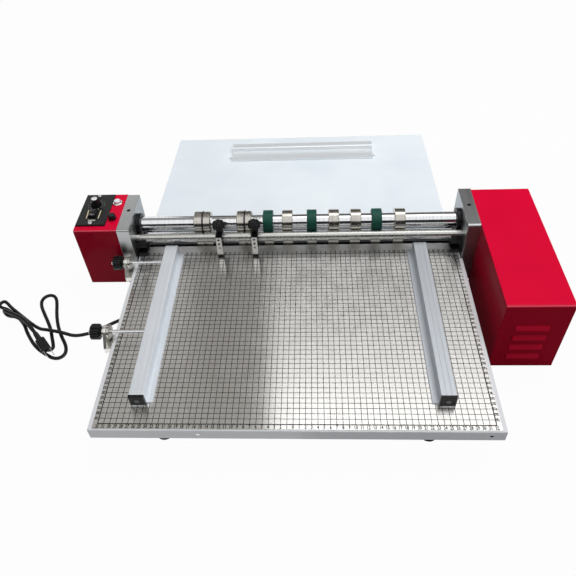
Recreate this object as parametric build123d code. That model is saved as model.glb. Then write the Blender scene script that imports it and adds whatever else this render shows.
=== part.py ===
from build123d import *
import os
from math import cos, hypot, pi, radians, sin, tan

# Desktop paper creasing machine, in millimetres, +Z up.
# The model is laid out in the machine's own frame: X = 0 at the middle of the printed scale,
# Y = 0 at the scale's zero line near the rollers and Z = 0 at the top of the feed table.
# save() then moves every piece so that the origin is under the middle of the whole machine,
# on the surface that it stands on.

# ---------------------------------------------------------------- driving dimensions
FLOOR_Z = -84.0            # the surface that the feet stand on
SHEET = 1.5                # folded sheet metal
GAP = 0.3                  # clearance between neighbouring pieces that don't touch
RUNNING = 0.05             # radial clearance of a shaft in its bearing or a rod in its clamp

TABLE_HALF = 335.0         # half the feed table's width
TABLE_FRONT = -412.0
TABLE_REAR = 28.0
TABLE_DEPTH = 24.0         # height of the folded skirt
SCALE_SHEET = 1.0          # polished sheet with the printed scale
SCALE_MARGIN = 3.0         # bare border of the table round the scale sheet

PLATE_INNER = TABLE_HALF - 2.0     # inner face of a side plate, from the middle
PLATE_T = 25.0
PLATE_FRONT = -16.0
PLATE_REAR = 100.0
PLATE_TOP = 84.0
PLATE_BOTTOM = -62.0
PLATE_ROUND = 5.0

UPPER_Y, UPPER_Z = 48.0, 47.6      # axis of the upper shaft
UPPER_R = 15.0
LOWER_R = 13.0
WHEEL_R = 24.0             # feed wheels and plain rings on the upper shaft
NIP_GAP = 0.3              # paper gap between an upper wheel and its lower ring
GEAR_MODULE = 1.5
UPPER_TEETH = 32
LOWER_TEETH = 24
PINION_TEETH = 16
GEAR_WIDTH = 12.0
GEAR_START = 4.0           # from the right side plate's outer face to the gears

CREASE_RING_LEFT = (-211.0, -176.5)     # first and last face along X
CREASE_RING_RIGHT = (-122.4, -91.0)
CREASE_BLADE = 3.2         # width of the dark creasing rim
FEED_WHEEL_X = (-58.0, 32.0, 164.0)
FEED_WHEEL_W = 20.0
PLAIN_RING_X = (-18.0, 77.0, 121.5, 210.5)
PLAIN_RING_W = 21.5

ROD_Y, ROD_Z = 15.0, 37.0  # cross rod that carries the hold-down fingers
ROD_R = 8.5
FINGER_X = (-157.0, -84.5)
FINGER_CLAMP_W = 14.0
FINGER_STRIP_W = 11.5
FINGER_STRIP_FRONT = -7.0
FINGER_PAD_H = 6.5
FINGER_KNOB_R = 12.5

GUIDE_W = 26.0
GUIDE_H = 25.0
GUIDE_WALL = 2.0
GUIDE_REAR = 3.0
GUIDE_FRONT = -361.0
GUIDE_CAP = 5.0
GUIDE_LIP_W = 10.5
GUIDE_LIP_H = 3.0
LEFT_GUIDE_INSET = 89.0    # from the table's edge to a guide's inner face
RIGHT_GUIDE_INSET = 98.5

GUIDE_ROD_R = 3.5
GUIDE_ROD_Z = 14.5
GUIDE_ROD_Y = (-218.0, -36.0)
GUIDE_ROD_OUT = 43.0       # from the table's edge to the rods' free ends
STAR_KNOB_R = 15.0
STAR_KNOB_T = 17.0
BRACKET_OUT = 13.5         # from the table's edge to the outer face of a rod bracket
BRACKET_T = 5.0

LEFT_COVER_W = 88.0
LEFT_COVER_FRONT = -15.0
LEFT_COVER_REAR = 102.0
LEFT_COVER_BOTTOM = -63.0
RIGHT_COVER_W = 115.0
RIGHT_COVER_FRONT = -225.0
RIGHT_COVER_REAR = 96.0
RIGHT_COVER_BOTTOM = -81.0
COVER_TOP = 84.0
COVER_BEND = 5.0
LOUVRE_COUNT = 4
LOUVRE_PITCH = 26.0
LOUVRE_TOP_Z = 27.5
LOUVRE_INSET = 60.2        # from the cover's outer face to the louvres' middle
LOUVRE_LENGTH = 59.0
LOUVRE_HEIGHT = 13.0
LOUVRE_DEPTH = 4.0

PANEL_W = 61.0
PANEL_T = 2.0
PANEL_STRIP_T = 1.5        # raised strip along the panel's front edge
PANEL_SCREW_INSETS = ((29.0, 94.5), (31.5, 5.0))   # from the cover's outer face, and Y
SPEED_KNOB_INSET, SPEED_KNOB_Y = 28.8, 64.5
ROCKER_INSET, ROCKER_Y = 29.5, 35.0
ROCKER_L, ROCKER_W = 25.0, 15.0
KNOB_SHAFT_R = 3.0
BUTTON_R = 7.0
BARREL_R = 8.5
PUSH_BUTTON_OUT, PUSH_BUTTON_Y = 16.0, 73.0        # from the side plate's outer face, and Y
FUSE_CAP_OUT, FUSE_CAP_Y = 15.0, 22.0

TRAY_INSET = 13.0          # from a side plate's inner face to the tray's edge
TRAY_START = 80.0
TRAY_LENGTH = 399.0
TRAY_FALL = 3.4            # degrees that the rear tray falls towards its far end
TRAY_HEM = 10.0
STOP_BAR_START = 284.0     # along the tray, from its near edge to the bar
STOP_BAR_X = (-171.0, 185.0)

CORD_R = 3.6
CORD_Z = FLOOR_Z + CORD_R + 0.1    # centre of the cord where it lies on the floor
PLUG_RELIEF_L = 22.0
PLUG_L = 36.0
PLUG_W = 19.0
PLUG_H = 12.5
PLUG_Z = -70.0
PLUG_START = (-531.0, -152.0)
PLUG_TURN = -48.7          # degrees, direction of the plug on the floor

# ---------------------------------------------------------------- worked-out places
LOWER_Y = UPPER_Y
LOWER_Z = UPPER_Z - GEAR_MODULE * (UPPER_TEETH + LOWER_TEETH) / 2
PINION_Y = LOWER_Y - GEAR_MODULE * (PINION_TEETH + LOWER_TEETH) / 2
PINION_Z = LOWER_Z
LOWER_RING_R = UPPER_Z - LOWER_Z - WHEEL_R - NIP_GAP
PLATE_OUTER = PLATE_INNER + PLATE_T
TRAY_HALF = PLATE_INNER - TRAY_INSET
LEFT_GUIDE_INNER = LEFT_GUIDE_INSET - TABLE_HALF
RIGHT_GUIDE_INNER = TABLE_HALF - RIGHT_GUIDE_INSET
GUIDE_ROD_END = -TABLE_HALF - GUIDE_ROD_OUT
BRACKET_X = -TABLE_HALF - BRACKET_OUT
LEFT_COVER_OUT = -PLATE_OUTER - LEFT_COVER_W
RIGHT_COVER_OUT = PLATE_OUTER + RIGHT_COVER_W
LOUVRE_X = RIGHT_COVER_OUT - LOUVRE_INSET
PANEL_SCREWS = [(LEFT_COVER_OUT + inset, y) for inset, y in PANEL_SCREW_INSETS]
SPEED_KNOB = (LEFT_COVER_OUT + SPEED_KNOB_INSET, SPEED_KNOB_Y)
ROCKER = (LEFT_COVER_OUT + ROCKER_INSET, ROCKER_Y)
PUSH_BUTTON = (-PLATE_OUTER - PUSH_BUTTON_OUT, PUSH_BUTTON_Y)
FUSE_CAP = (-PLATE_OUTER - FUSE_CAP_OUT, FUSE_CAP_Y)
TABLE_TOP = -SCALE_SHEET
TABLE_BOTTOM = -TABLE_DEPTH
TABLE_NECK_HALF = PLATE_INNER - 2.0        # the table narrows to pass between the plates
TABLE_NECK_Y = PLATE_FRONT - 2.0
GEAR_X0 = PLATE_OUTER + GEAR_START
GEAR_X1 = GEAR_X0 + GEAR_WIDTH
LEFT_GUIDE_OUTER = LEFT_GUIDE_INNER - GUIDE_W
RIGHT_GUIDE_OUTER = RIGHT_GUIDE_INNER + GUIDE_W
TRAY_END = TRAY_START + TRAY_LENGTH * cos(radians(TRAY_FALL))

EDGE_SCREW_H = 1.6         # height of the screw heads in the table's front edge
MACHINE_FRONT = TABLE_FRONT - EDGE_SCREW_H

ORIGIN = Location((-(LEFT_COVER_OUT + RIGHT_COVER_OUT) / 2, -(MACHINE_FRONT + TRAY_END) / 2, -FLOOR_Z))


# ---------------------------------------------------------------- helpers
def save(shape, name):
    """Move a piece into the machine's standing frame and write it."""
    export_step(shape.moved(ORIGIN), "parts/" + name + ".step")


def block(x0, x1, y0, y1, z0, z1):
    """A box between two corners."""
    return Pos((x0 + x1) / 2, (y0 + y1) / 2, (z0 + z1) / 2) * Box(abs(x1 - x0), abs(y1 - y0), abs(z1 - z0))


def rod_x(x0, x1, y, z, r):
    """A round bar along X."""
    return Pos((x0 + x1) / 2, y, z) * Rot(0, 90, 0) * Cylinder(r, abs(x1 - x0))


def rod_y(y0, y1, x, z, r):
    """A round bar along Y."""
    return Pos(x, (y0 + y1) / 2, z) * Rot(90, 0, 0) * Cylinder(r, abs(y1 - y0))


def rod_z(z0, z1, x, y, r):
    """A round bar along Z."""
    return Pos(x, y, (z0 + z1) / 2) * Cylinder(r, abs(z1 - z0))


def ring_x(x0, x1, y, z, r_out, r_in):
    """A plain ring round an axis along X."""
    return rod_x(x0, x1, y, z, r_out) - rod_x(x0 - 1, x1 + 1, y, z, r_in)


def slab_x(points, x0, x1):
    """A plate between two X places, whose outline is given as (Y, Z) corners."""
    face = Plane(origin=(x0, 0, 0), x_dir=(0, 1, 0), z_dir=(1, 0, 0)) * Polygon(*points, align=None)
    return extrude(face, x1 - x0, dir=(1, 0, 0))


def mirror_x(shape):
    """The same piece on the other side of the machine."""
    return mirror(shape, about=Plane.YZ)


def group(*solids):
    """Separate solids that share one node."""
    return Compound(children=[s for s in solids])


def bevel(solid, axis, low, high, size):
    """Chamfer the round edges of a solid whose centres lie at the two given places on an axis."""
    places = [e for e in solid.edges().filter_by(GeomType.CIRCLE)]
    along = {Axis.X: "X", Axis.Y: "Y", Axis.Z: "Z"}[axis]
    chosen = [e for e in places if min(abs(getattr(e.arc_center, along) - p) for p in (low, high)) < 0.01]
    return chamfer(chosen, size)


def star_knob(radius, thickness, lobes, hub_r, hub_l):
    """A lobed hand knob, its grip from z = 0 up to thickness and its hub below z = 0."""
    grip = Pos(0, 0, thickness / 2) * Cylinder(radius, thickness)
    grip = fillet(grip.edges().filter_by(GeomType.CIRCLE), 0.16 * thickness)
    notch_r = 0.28 * radius
    for i in range(lobes):
        turn = 360 * (i + 0.5) / lobes
        notch = Pos(radius + 0.3 * notch_r, 0, thickness / 2) * Cylinder(notch_r, 2 * thickness)
        grip -= Rot(0, 0, turn) * notch
    return grip + Pos(0, 0, -hub_l / 2) * Cylinder(hub_r, hub_l)


def shaft_gear(teeth, y, z, bore_r, first_tooth):
    """A spur gear in the drive, on an axis along X. first_tooth is one tooth's angle from +Y towards +Z."""
    pitch_r = GEAR_MODULE * teeth / 2
    root_r = pitch_r - 1.25 * GEAR_MODULE
    tip_r = pitch_r + 0.95 * GEAR_MODULE
    half_pitch_w = 0.2 * pi * GEAR_MODULE
    half_root_w = half_pitch_w + 1.25 * GEAR_MODULE * tan(radians(20))
    half_tip_w = half_pitch_w - 0.95 * GEAR_MODULE * tan(radians(20))
    inside = root_r - 0.6
    flank = Polygon(
        (inside, -half_root_w), (root_r, -half_root_w), (tip_r, -half_tip_w),
        (tip_r, half_tip_w), (root_r, half_root_w), (inside, half_root_w), align=None)
    profile = Circle(root_r)
    for i in range(teeth):
        profile += Rot(0, 0, first_tooth + 360 * i / teeth) * flank
    profile -= Circle(bore_r)
    face = Plane(origin=(GEAR_X0, y, z), x_dir=(0, 1, 0), z_dir=(1, 0, 0))
    return extrude(face * profile, GEAR_WIDTH, dir=(1, 0, 0))


def pan_head(r, h):
    """A low domed screw head standing on z = 0."""
    head = Pos(0, 0, h / 2) * Cylinder(r, h)
    return fillet(head.edges().group_by(Axis.Z)[-1], 0.6 * h)


# ---------------------------------------------------------------- feed table
def table_top():
    """Folded steel tray, open below, with a narrower neck between the side plates."""
    wide = block(-TABLE_HALF, TABLE_HALF, TABLE_FRONT, TABLE_NECK_Y, TABLE_BOTTOM, TABLE_TOP)
    neck = block(-TABLE_NECK_HALF, TABLE_NECK_HALF, TABLE_NECK_Y, TABLE_REAR, TABLE_BOTTOM, TABLE_TOP)
    outer = wide + neck
    front_edge = outer.edges().filter_by(Axis.X).sort_by(Axis.Y)[:2].sort_by(Axis.Z)[-1]
    outer = fillet(front_edge, 2.0)
    under = TABLE_TOP - SHEET
    wide_half, neck_half = TABLE_HALF - SHEET, TABLE_NECK_HALF - SHEET
    inner = block(-wide_half, wide_half, TABLE_FRONT + SHEET, TABLE_NECK_Y - SHEET, TABLE_BOTTOM - 1, under)
    neck_start = TABLE_NECK_Y - 2 * SHEET
    inner += block(-neck_half, neck_half, neck_start, TABLE_REAR - SHEET, TABLE_BOTTOM - 1, under)
    return outer - inner


def scale_sheet():
    """Polished sheet on the table that carries the printed scale."""
    half = TABLE_NECK_HALF - SCALE_MARGIN
    return block(-half, half, TABLE_FRONT + SCALE_MARGIN, TABLE_REAR - 0.5, TABLE_TOP, 0)


RIB_INSET = 106.5          # from the table's edge to a rail's middle
RIB_X = TABLE_HALF - RIB_INSET
RIB_HALF = 20.0
FRONT_FOOT_Y = -366.5
FOOT_R = 15.0


def table_ribs():
    """Two hat-section rails under the table, which carry the front feet."""
    ribs = []
    for side in (-1, 1):
        x = side * RIB_X
        top = TABLE_TOP - SHEET
        outer = block(x - RIB_HALF, x + RIB_HALF, TABLE_FRONT + 12, TABLE_REAR - 4, TABLE_BOTTOM, top)
        half = RIB_HALF - 2
        hollow = block(x - half, x + half, TABLE_FRONT, TABLE_REAR, TABLE_BOTTOM + 2, top - 2)
        ribs.append(outer - hollow)
    return group(*ribs)


BEAM_BOTTOM = -60.0
FRONT_BEAM = (-14.0, 14.0)
REAR_BEAM = (TRAY_START + SHEET, TRAY_START + SHEET + 16.0)
REAR_BEAM_TOP = -3.0
REAR_FOOT_X = PLATE_INNER - 33.0


def foot(x, y, r, top):
    """A rubber foot from the floor up to a given height, a little wider at its top."""
    cone = Cone(r, r * 1.1, top - FLOOR_Z)
    return Pos(x, y, (FLOOR_Z + top) / 2) * cone


def rubber_feet():
    """Two tall feet under the front of the table and four short ones under the roller frame."""
    feet = []
    for side in (-1, 1):
        feet.append(foot(side * RIB_X, FRONT_FOOT_Y, FOOT_R, TABLE_BOTTOM))
        for y0, y1 in (FRONT_BEAM, REAR_BEAM):
            feet.append(foot(side * REAR_FOOT_X, (y0 + y1) / 2, FOOT_R / 2, BEAM_BOTTOM))
    return group(*feet)


# ---------------------------------------------------------------- roller frame
GLAND_X, GLAND_Z = 33.0 - PLATE_INNER, -45.0
GLAND_R = 8.0
GLAND_NUT = 6.0
GLAND_L = 26.0
UPPER_HOUSING_R = 22.5
LOWER_HOUSING_R = 18.0
UPPER_SPIGOT_R = 19.0
LOWER_SPIGOT_R = 15.0
HOUSING_FLANGE = 9.0
UPPER_BEARING_R = 16.0
LOWER_BEARING_R = 13.0
UPPER_JOURNAL_R = 10.0
LOWER_JOURNAL_R = 8.5
SCREW_HOLE_R = 4.0


def side_plate():
    """Right side plate: bored for both bearing housings, with a screw hole down from the top."""
    plate = block(PLATE_INNER, PLATE_OUTER, PLATE_FRONT, PLATE_REAR, PLATE_BOTTOM, PLATE_TOP)
    top_front = plate.edges().filter_by(Axis.X).group_by(Axis.Z)[-1].sort_by(Axis.Y)[0]
    plate = fillet(top_front, PLATE_ROUND)
    for y, z, r in ((UPPER_Y, UPPER_Z, UPPER_SPIGOT_R), (LOWER_Y, LOWER_Z, LOWER_SPIGOT_R)):
        plate -= rod_x(PLATE_INNER - 1, PLATE_OUTER + 1, y, z, r)
    middle = (PLATE_INNER + PLATE_OUTER) / 2
    return plate - rod_z(UPPER_Z, PLATE_TOP + 1, middle, UPPER_Y, SCREW_HOLE_R)


def beam(y0, y1, z0, z1):
    """Box-section beam between the side plates."""
    wall = 2.5
    outer = block(-PLATE_INNER, PLATE_INNER, y0, y1, z0, z1)
    return outer - block(-PLATE_INNER - 1, PLATE_INNER + 1, y0 + wall, y1 - wall, z0 + wall, z1 - wall)


def cross_beams():
    """Front beam, under the table, with the hole for the cord gland, and rear beam under the tray."""
    front = beam(*FRONT_BEAM, BEAM_BOTTOM, TABLE_BOTTOM)
    front -= rod_y(FRONT_BEAM[0] - 1, FRONT_BEAM[0] + 5, GLAND_X, GLAND_Z, GLAND_R - 2)
    return group(front, beam(*REAR_BEAM, BEAM_BOTTOM, REAR_BEAM_TOP))


def housing(y, z, flange_r, spigot_r, bearing_r):
    """Flanged bearing housing in the right side plate."""
    shape = rod_x(PLATE_INNER - HOUSING_FLANGE, PLATE_INNER, y, z, flange_r)
    shape = bevel(shape, Axis.X, PLATE_INNER - HOUSING_FLANGE, PLATE_INNER - HOUSING_FLANGE, 1.5)
    shape += rod_x(PLATE_INNER, PLATE_OUTER, y, z, spigot_r)
    return shape - rod_x(PLATE_INNER - HOUSING_FLANGE - 1, PLATE_OUTER + 1, y, z, bearing_r)


def bearing_housings():
    """Four black housings, two at each end."""
    upper = housing(UPPER_Y, UPPER_Z, UPPER_HOUSING_R, UPPER_SPIGOT_R, UPPER_BEARING_R)
    lower = housing(LOWER_Y, LOWER_Z, LOWER_HOUSING_R, LOWER_SPIGOT_R, LOWER_BEARING_R)
    return group(upper, lower, mirror_x(upper), mirror_x(lower))


BEARING_INSET = 3.0


def shaft_bearings():
    """Bearing rings inside the housings."""
    x0 = PLATE_INNER - HOUSING_FLANGE + BEARING_INSET
    x1 = PLATE_OUTER - BEARING_INSET
    upper = ring_x(x0, x1, UPPER_Y, UPPER_Z, UPPER_BEARING_R, UPPER_JOURNAL_R + RUNNING)
    lower = ring_x(x0, x1, LOWER_Y, LOWER_Z, LOWER_BEARING_R, LOWER_JOURNAL_R + RUNNING)
    return group(upper, lower, mirror_x(upper), mirror_x(lower))


def pressure_screws():
    """Socket set screws in the tops of the side plates, down to the upper housings."""
    middle = (PLATE_INNER + PLATE_OUTER) / 2
    screw = rod_z(UPPER_Z + UPPER_SPIGOT_R + GAP, PLATE_TOP - 3, middle, UPPER_Y, SCREW_HOLE_R)
    screw -= Pos(middle, UPPER_Y, PLATE_TOP - 3) * extrude(RegularPolygon(2.3, 6), -4)
    return group(screw, mirror_x(screw))


# ---------------------------------------------------------------- shafts, wheels and gears
def upper_shaft():
    """Upper shaft, turned down for its bearings, long enough on the right for its gear."""
    face = PLATE_INNER - HOUSING_FLANGE - 2 * GAP
    shaft = rod_x(-face, face, UPPER_Y, UPPER_Z, UPPER_R)
    return shaft + rod_x(-PLATE_OUTER + 1, GEAR_X1 + 2, UPPER_Y, UPPER_Z, UPPER_JOURNAL_R)


def lower_shaft():
    """Lower shaft, the same with its own sizes."""
    face = PLATE_INNER - HOUSING_FLANGE - 2 * GAP
    shaft = rod_x(-face, face, LOWER_Y, LOWER_Z, LOWER_R)
    return shaft + rod_x(-PLATE_OUTER + 1, GEAR_X1 + 2, LOWER_Y, LOWER_Z, LOWER_JOURNAL_R)


def blade_x(span):
    """First and last face of the dark creasing rim in a creasing ring."""
    start = span[0] + 0.47 * (span[1] - span[0])
    return start, start + CREASE_BLADE


SET_SCREW_R = 2.6


def creasing_ring(span):
    """One creasing ring: two steel halves on one sleeve, with radial set screw holes in the right half."""
    b0, b1 = blade_x(span)
    sleeve = rod_x(span[0], span[1], UPPER_Y, UPPER_Z, UPPER_R + 3)
    left = bevel(rod_x(span[0], b0, UPPER_Y, UPPER_Z, WHEEL_R), Axis.X, span[0], span[0], 1.2)
    right = bevel(rod_x(b1, span[1], UPPER_Y, UPPER_Z, WHEEL_R - 0.5), Axis.X, span[1], span[1], 2.0)
    ring = left + right + sleeve - rod_x(span[0] - 1, span[1] + 1, UPPER_Y, UPPER_Z, UPPER_R)
    middle = (b1 + span[1]) / 2
    hole = Pos(0, 0, WHEEL_R) * Cylinder(SET_SCREW_R, 7.0)
    for turn in (-20, 100, 220):
        ring -= Pos(middle, UPPER_Y, UPPER_Z) * Rot(turn, 0, 0) * hole
    return ring


def creasing_rims():
    """The dark rims clamped between the halves of the two creasing rings."""
    rims = []
    for span in (CREASE_RING_LEFT, CREASE_RING_RIGHT):
        b0, b1 = blade_x(span)
        rims.append(ring_x(b0, b1, UPPER_Y, UPPER_Z, WHEEL_R + 0.4, UPPER_R + 3))
    return group(*rims)


def feed_wheel(x):
    """Rubber-covered feed wheel."""
    x0, x1 = x - FEED_WHEEL_W / 2, x + FEED_WHEEL_W / 2
    wheel = bevel(rod_x(x0, x1, UPPER_Y, UPPER_Z, WHEEL_R), Axis.X, x0, x1, 1.0)
    return wheel - rod_x(x0 - 1, x1 + 1, UPPER_Y, UPPER_Z, UPPER_R)


def plain_ring(x):
    """Plain steel ring."""
    x0, x1 = x - PLAIN_RING_W / 2, x + PLAIN_RING_W / 2
    ring = bevel(rod_x(x0, x1, UPPER_Y, UPPER_Z, WHEEL_R), Axis.X, x0, x1, 0.8)
    return ring - rod_x(x0 - 1, x1 + 1, UPPER_Y, UPPER_Z, UPPER_R)


def lower_rings():
    """Steel rings on the lower shaft, one under each upper wheel, grooved under the creasing rims."""
    rings = []
    spans = [(x - FEED_WHEEL_W / 2, x + FEED_WHEEL_W / 2) for x in FEED_WHEEL_X]
    spans += [(x - PLAIN_RING_W / 2, x + PLAIN_RING_W / 2) for x in PLAIN_RING_X]
    for x0, x1 in spans:
        ring = bevel(rod_x(x0, x1, LOWER_Y, LOWER_Z, LOWER_RING_R), Axis.X, x0, x1, 0.6)
        rings.append(ring - rod_x(x0 - 1, x1 + 1, LOWER_Y, LOWER_Z, LOWER_R))
    for span in (CREASE_RING_LEFT, CREASE_RING_RIGHT):
        b0, b1 = blade_x(span)
        ring = ring_x(span[0], span[1], LOWER_Y, LOWER_Z, LOWER_RING_R, LOWER_R)
        groove = ring_x(b0 - 0.8, b1 + 0.8, LOWER_Y, LOWER_Z, LOWER_RING_R + 1, LOWER_RING_R - 1.5)
        rings.append(ring - groove)
    return group(*rings)


PINION_SHAFT_R = 6.0
BRACKET_PLATE_OUT = 22.0    # from the side plate's outer face to the gearbox plate
BRACKET_PLATE_X = PLATE_OUTER + BRACKET_PLATE_OUT
BRACKET_PLATE_T = 4.0
BRACKET_PLATE = (-14.0, 93.0, -46.0, 74.0)     # its two Y and two Z places
SPACER_R = 5.0
SPACERS = ((-6.0, -38.0), (-6.0, 66.0), (86.0, -38.0), (86.0, 66.0))
GEARBOX = (-34.0, 42.0, -36.0, 46.0)
GEARBOX_W = 70.0
MOTOR_R = 37.0
MOTOR_LENGTH = 160.0


def drive_pinion():
    """Output shaft of the gearbox with its pinion."""
    gear = shaft_gear(PINION_TEETH, PINION_Y, PINION_Z, PINION_SHAFT_R, 0)
    shaft_end = BRACKET_PLATE_X + BRACKET_PLATE_T + 30
    return gear + rod_x(GEAR_X0 - 1, shaft_end, PINION_Y, PINION_Z, PINION_SHAFT_R)


def gearbox_plate():
    """Plate on four spacers outside the right side plate, which carries the gearbox."""
    plate = block(BRACKET_PLATE_X, BRACKET_PLATE_X + BRACKET_PLATE_T, *BRACKET_PLATE)
    plate -= rod_x(BRACKET_PLATE_X - 1, BRACKET_PLATE_X + 9, PINION_Y, PINION_Z, PINION_SHAFT_R + 2)
    for y, z in SPACERS:
        plate += rod_x(PLATE_OUTER, BRACKET_PLATE_X, y, z, SPACER_R)
    return plate


def gearbox():
    """Worm gearbox, open where its output shaft turns."""
    y0, y1, z0, z1 = GEARBOX
    x0 = BRACKET_PLATE_X + BRACKET_PLATE_T
    body = fillet(block(x0, x0 + GEARBOX_W, y0, y1, z0, z1).edges(), 4)
    return body - rod_x(x0 - 1, x0 + 32, PINION_Y, PINION_Z, PINION_SHAFT_R + RUNNING)


def motor():
    """Round drive motor, along the right cover."""
    x = BRACKET_PLATE_X + BRACKET_PLATE_T + GEARBOX_W / 2
    z = (GEARBOX[2] + GEARBOX[3]) / 2
    body = rod_y(GEARBOX[0] - MOTOR_LENGTH, GEARBOX[0], x, z, MOTOR_R)
    body = fillet(body.edges().group_by(Axis.Y)[0], 4)
    for i in range(12):
        body -= Pos(x, GEARBOX[0] - MOTOR_LENGTH / 2, z) * Rot(0, 30 * i, 0) * Pos(MOTOR_R, 0, 0) * Box(
            4, MOTOR_LENGTH - 40, 3)
    return body


# ---------------------------------------------------------------- cross rod and hold-down fingers
SADDLE_L = 22.0
SADDLE_W = 21.0
SADDLE_DEPTH = 19.0        # below the rod's axis


def rod_blocks():
    """Saddles on the side plates that hold the cross rod."""
    x0, half = PLATE_INNER - SADDLE_L, SADDLE_W / 2
    saddle = block(x0, PLATE_INNER, ROD_Y - half, ROD_Y + half, ROD_Z - SADDLE_DEPTH, ROD_Z + 2)
    saddle -= rod_x(x0 - 1, PLATE_INNER + 1, ROD_Y, ROD_Z, ROD_R)
    return group(saddle, mirror_x(saddle))


CLAMP_WALL = 2.5
FINGER_STUD_R = 3.0
CLAMP_TOP = ROD_Z + ROD_R + 4.7


def finger_clamp(x):
    """Clamp block round the cross rod, flat in front for the strip and hollowed behind for the wheels."""
    half = FINGER_CLAMP_W / 2
    front = FINGER_STRIP_FRONT + 2.0
    body = block(x - half, x + half, front, ROD_Y + ROD_R + CLAMP_WALL, ROD_Z - ROD_R - 3, CLAMP_TOP)
    body = fillet(body.edges().filter_by(Axis.X), 1.5)
    body -= rod_x(x - half - 1, x + half + 1, UPPER_Y, UPPER_Z, WHEEL_R + 1)
    body -= rod_x(x - half - 1, x + half + 1, ROD_Y, ROD_Z, ROD_R + RUNNING)
    return body - rod_z(ROD_Z, CLAMP_TOP + 1, x, ROD_Y, FINGER_STUD_R + RUNNING)


FINGER_KNOB_T = 12.0
FINGER_KNOB_HUB = 12.0


def finger_knob(x):
    """Star knob on top of the clamp, with a stud down to the rod."""
    knob = star_knob(FINGER_KNOB_R, FINGER_KNOB_T, 7, 5.0, FINGER_KNOB_HUB)
    knob = Pos(x, ROD_Y, CLAMP_TOP + FINGER_KNOB_HUB + GAP) * knob
    return knob + rod_z(ROD_Z + ROD_R + GAP, CLAMP_TOP + 2, x, ROD_Y, FINGER_STUD_R)


def finger_strip(x):
    """Light metal strip down the front of the clamp, with three holes."""
    half = FINGER_STRIP_W / 2
    y = FINGER_STRIP_FRONT
    strip = block(x - half, x + half, y, y + 2.0, GAP + FINGER_PAD_H, CLAMP_TOP + 1.9)
    for z in (CLAMP_TOP - 3.6, CLAMP_TOP - 14.1, CLAMP_TOP - 24.6):
        strip -= rod_y(y - 1, y + 3, x, z, 2.5)
    return strip


def finger_pad(x):
    """Rubber pad at the foot of the strip, just above the table."""
    half = FINGER_STRIP_W / 2
    y = FINGER_STRIP_FRONT
    pad = block(x - half, x + half, y - 1.5, y + 4.5, GAP, GAP + FINGER_PAD_H)
    return fillet(pad.edges().filter_by(Axis.X).group_by(Axis.Z)[0], 1.5)


# ---------------------------------------------------------------- side guides
def guide(inner, side, bottom):
    """Hollow rectangular extrusion with a low lip on its inner side. side is -1 on the left."""
    outer = inner + side * GUIDE_W
    y0, y1 = GUIDE_FRONT, GUIDE_REAR
    x0, x1 = min(inner, outer), max(inner, outer)
    body = block(x0, x1, y0, y1, bottom, GUIDE_H)
    body = fillet(body.edges().filter_by(Axis.Y).group_by(Axis.Z)[-1], 1.5)
    wall = GUIDE_WALL
    body -= block(x0 + wall, x1 - wall, y0 - 1, y1 + 1, bottom + wall, GUIDE_H - wall)
    for k in (0.33, 0.67):
        x = x0 + k * (x1 - x0)
        body -= block(x - 0.6, x + 0.6, y0 - 1, y1 + 1, GUIDE_H - 0.5, GUIDE_H + 1)
    return body + block(inner - side * GUIDE_LIP_W, inner, y0, y1, bottom, bottom + GUIDE_LIP_H)


def guide_caps(inner, side, bottom):
    """Black caps on both ends of a guide."""
    outer = inner + side * GUIDE_W
    x0, x1 = min(inner, outer), max(inner, outer)
    front = block(x0, x1, GUIDE_FRONT - GUIDE_CAP, GUIDE_FRONT, bottom, GUIDE_H)
    front = fillet(front.edges().group_by(Axis.Y)[0], 1.2)
    rear = block(x0, x1, GUIDE_REAR, GUIDE_REAR + 2, bottom, GUIDE_H)
    return group(front, rear)


def guide_rods():
    """Two plain rods fixed to the left guide, which run out through the brackets."""
    x0, x1 = GUIDE_ROD_END, LEFT_GUIDE_OUTER
    return group(*[rod_x(x0, x1, y, GUIDE_ROD_Z, GUIDE_ROD_R) for y in GUIDE_ROD_Y])


BOSS_R = 12.5
BRACKET_TAIL = 27.0
BRACKET_LOW = TABLE_BOTTOM + 8.0
HUB_L = 5.0


def rod_brackets():
    """Two brackets on the table's left edge: a round boss for the rod and a tail screwed to the skirt."""
    brackets = []
    x0, x1 = BRACKET_X, BRACKET_X + BRACKET_T
    for y in GUIDE_ROD_Y:
        boss = rod_x(x0, x1, y, GUIDE_ROD_Z, BOSS_R)
        tail, low = y - BRACKET_TAIL, BRACKET_LOW
        side, up = BOSS_R * 0.86, GUIDE_ROD_Z + BOSS_R * 0.5
        web = slab_x(((y - side, up), (y + side, up), (y + BOSS_R, low + 8), (tail, low + 2),
                      (tail, low + 14)), x0, x1)
        foot_end = block(x1, -TABLE_HALF, tail, y + BOSS_R * 0.6, low + 4, low + 14)
        bracket = boss + web + foot_end
        bracket -= rod_x(x0 - 1, x1 + 1, y, GUIDE_ROD_Z, GUIDE_ROD_R + RUNNING)
        brackets.append(bracket)
    return group(*brackets)


def rod_collars():
    """Steel washers outside the brackets and ring nuts inside them."""
    rings = []
    for y in GUIDE_ROD_Y:
        rings.append(ring_x(BRACKET_X - 2.5, BRACKET_X, y, GUIDE_ROD_Z, BOSS_R - 1, GUIDE_ROD_R + GAP))
        x0 = BRACKET_X + BRACKET_T
        nut = bevel(rod_x(x0, x0 + 6, y, GUIDE_ROD_Z, BOSS_R + 0.5), Axis.X, x0, x0 + 6, 1.0)
        rings.append(nut - rod_x(x0 - 1, x0 + 7, y, GUIDE_ROD_Z, GUIDE_ROD_R + GAP))
    return group(*rings)


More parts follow.
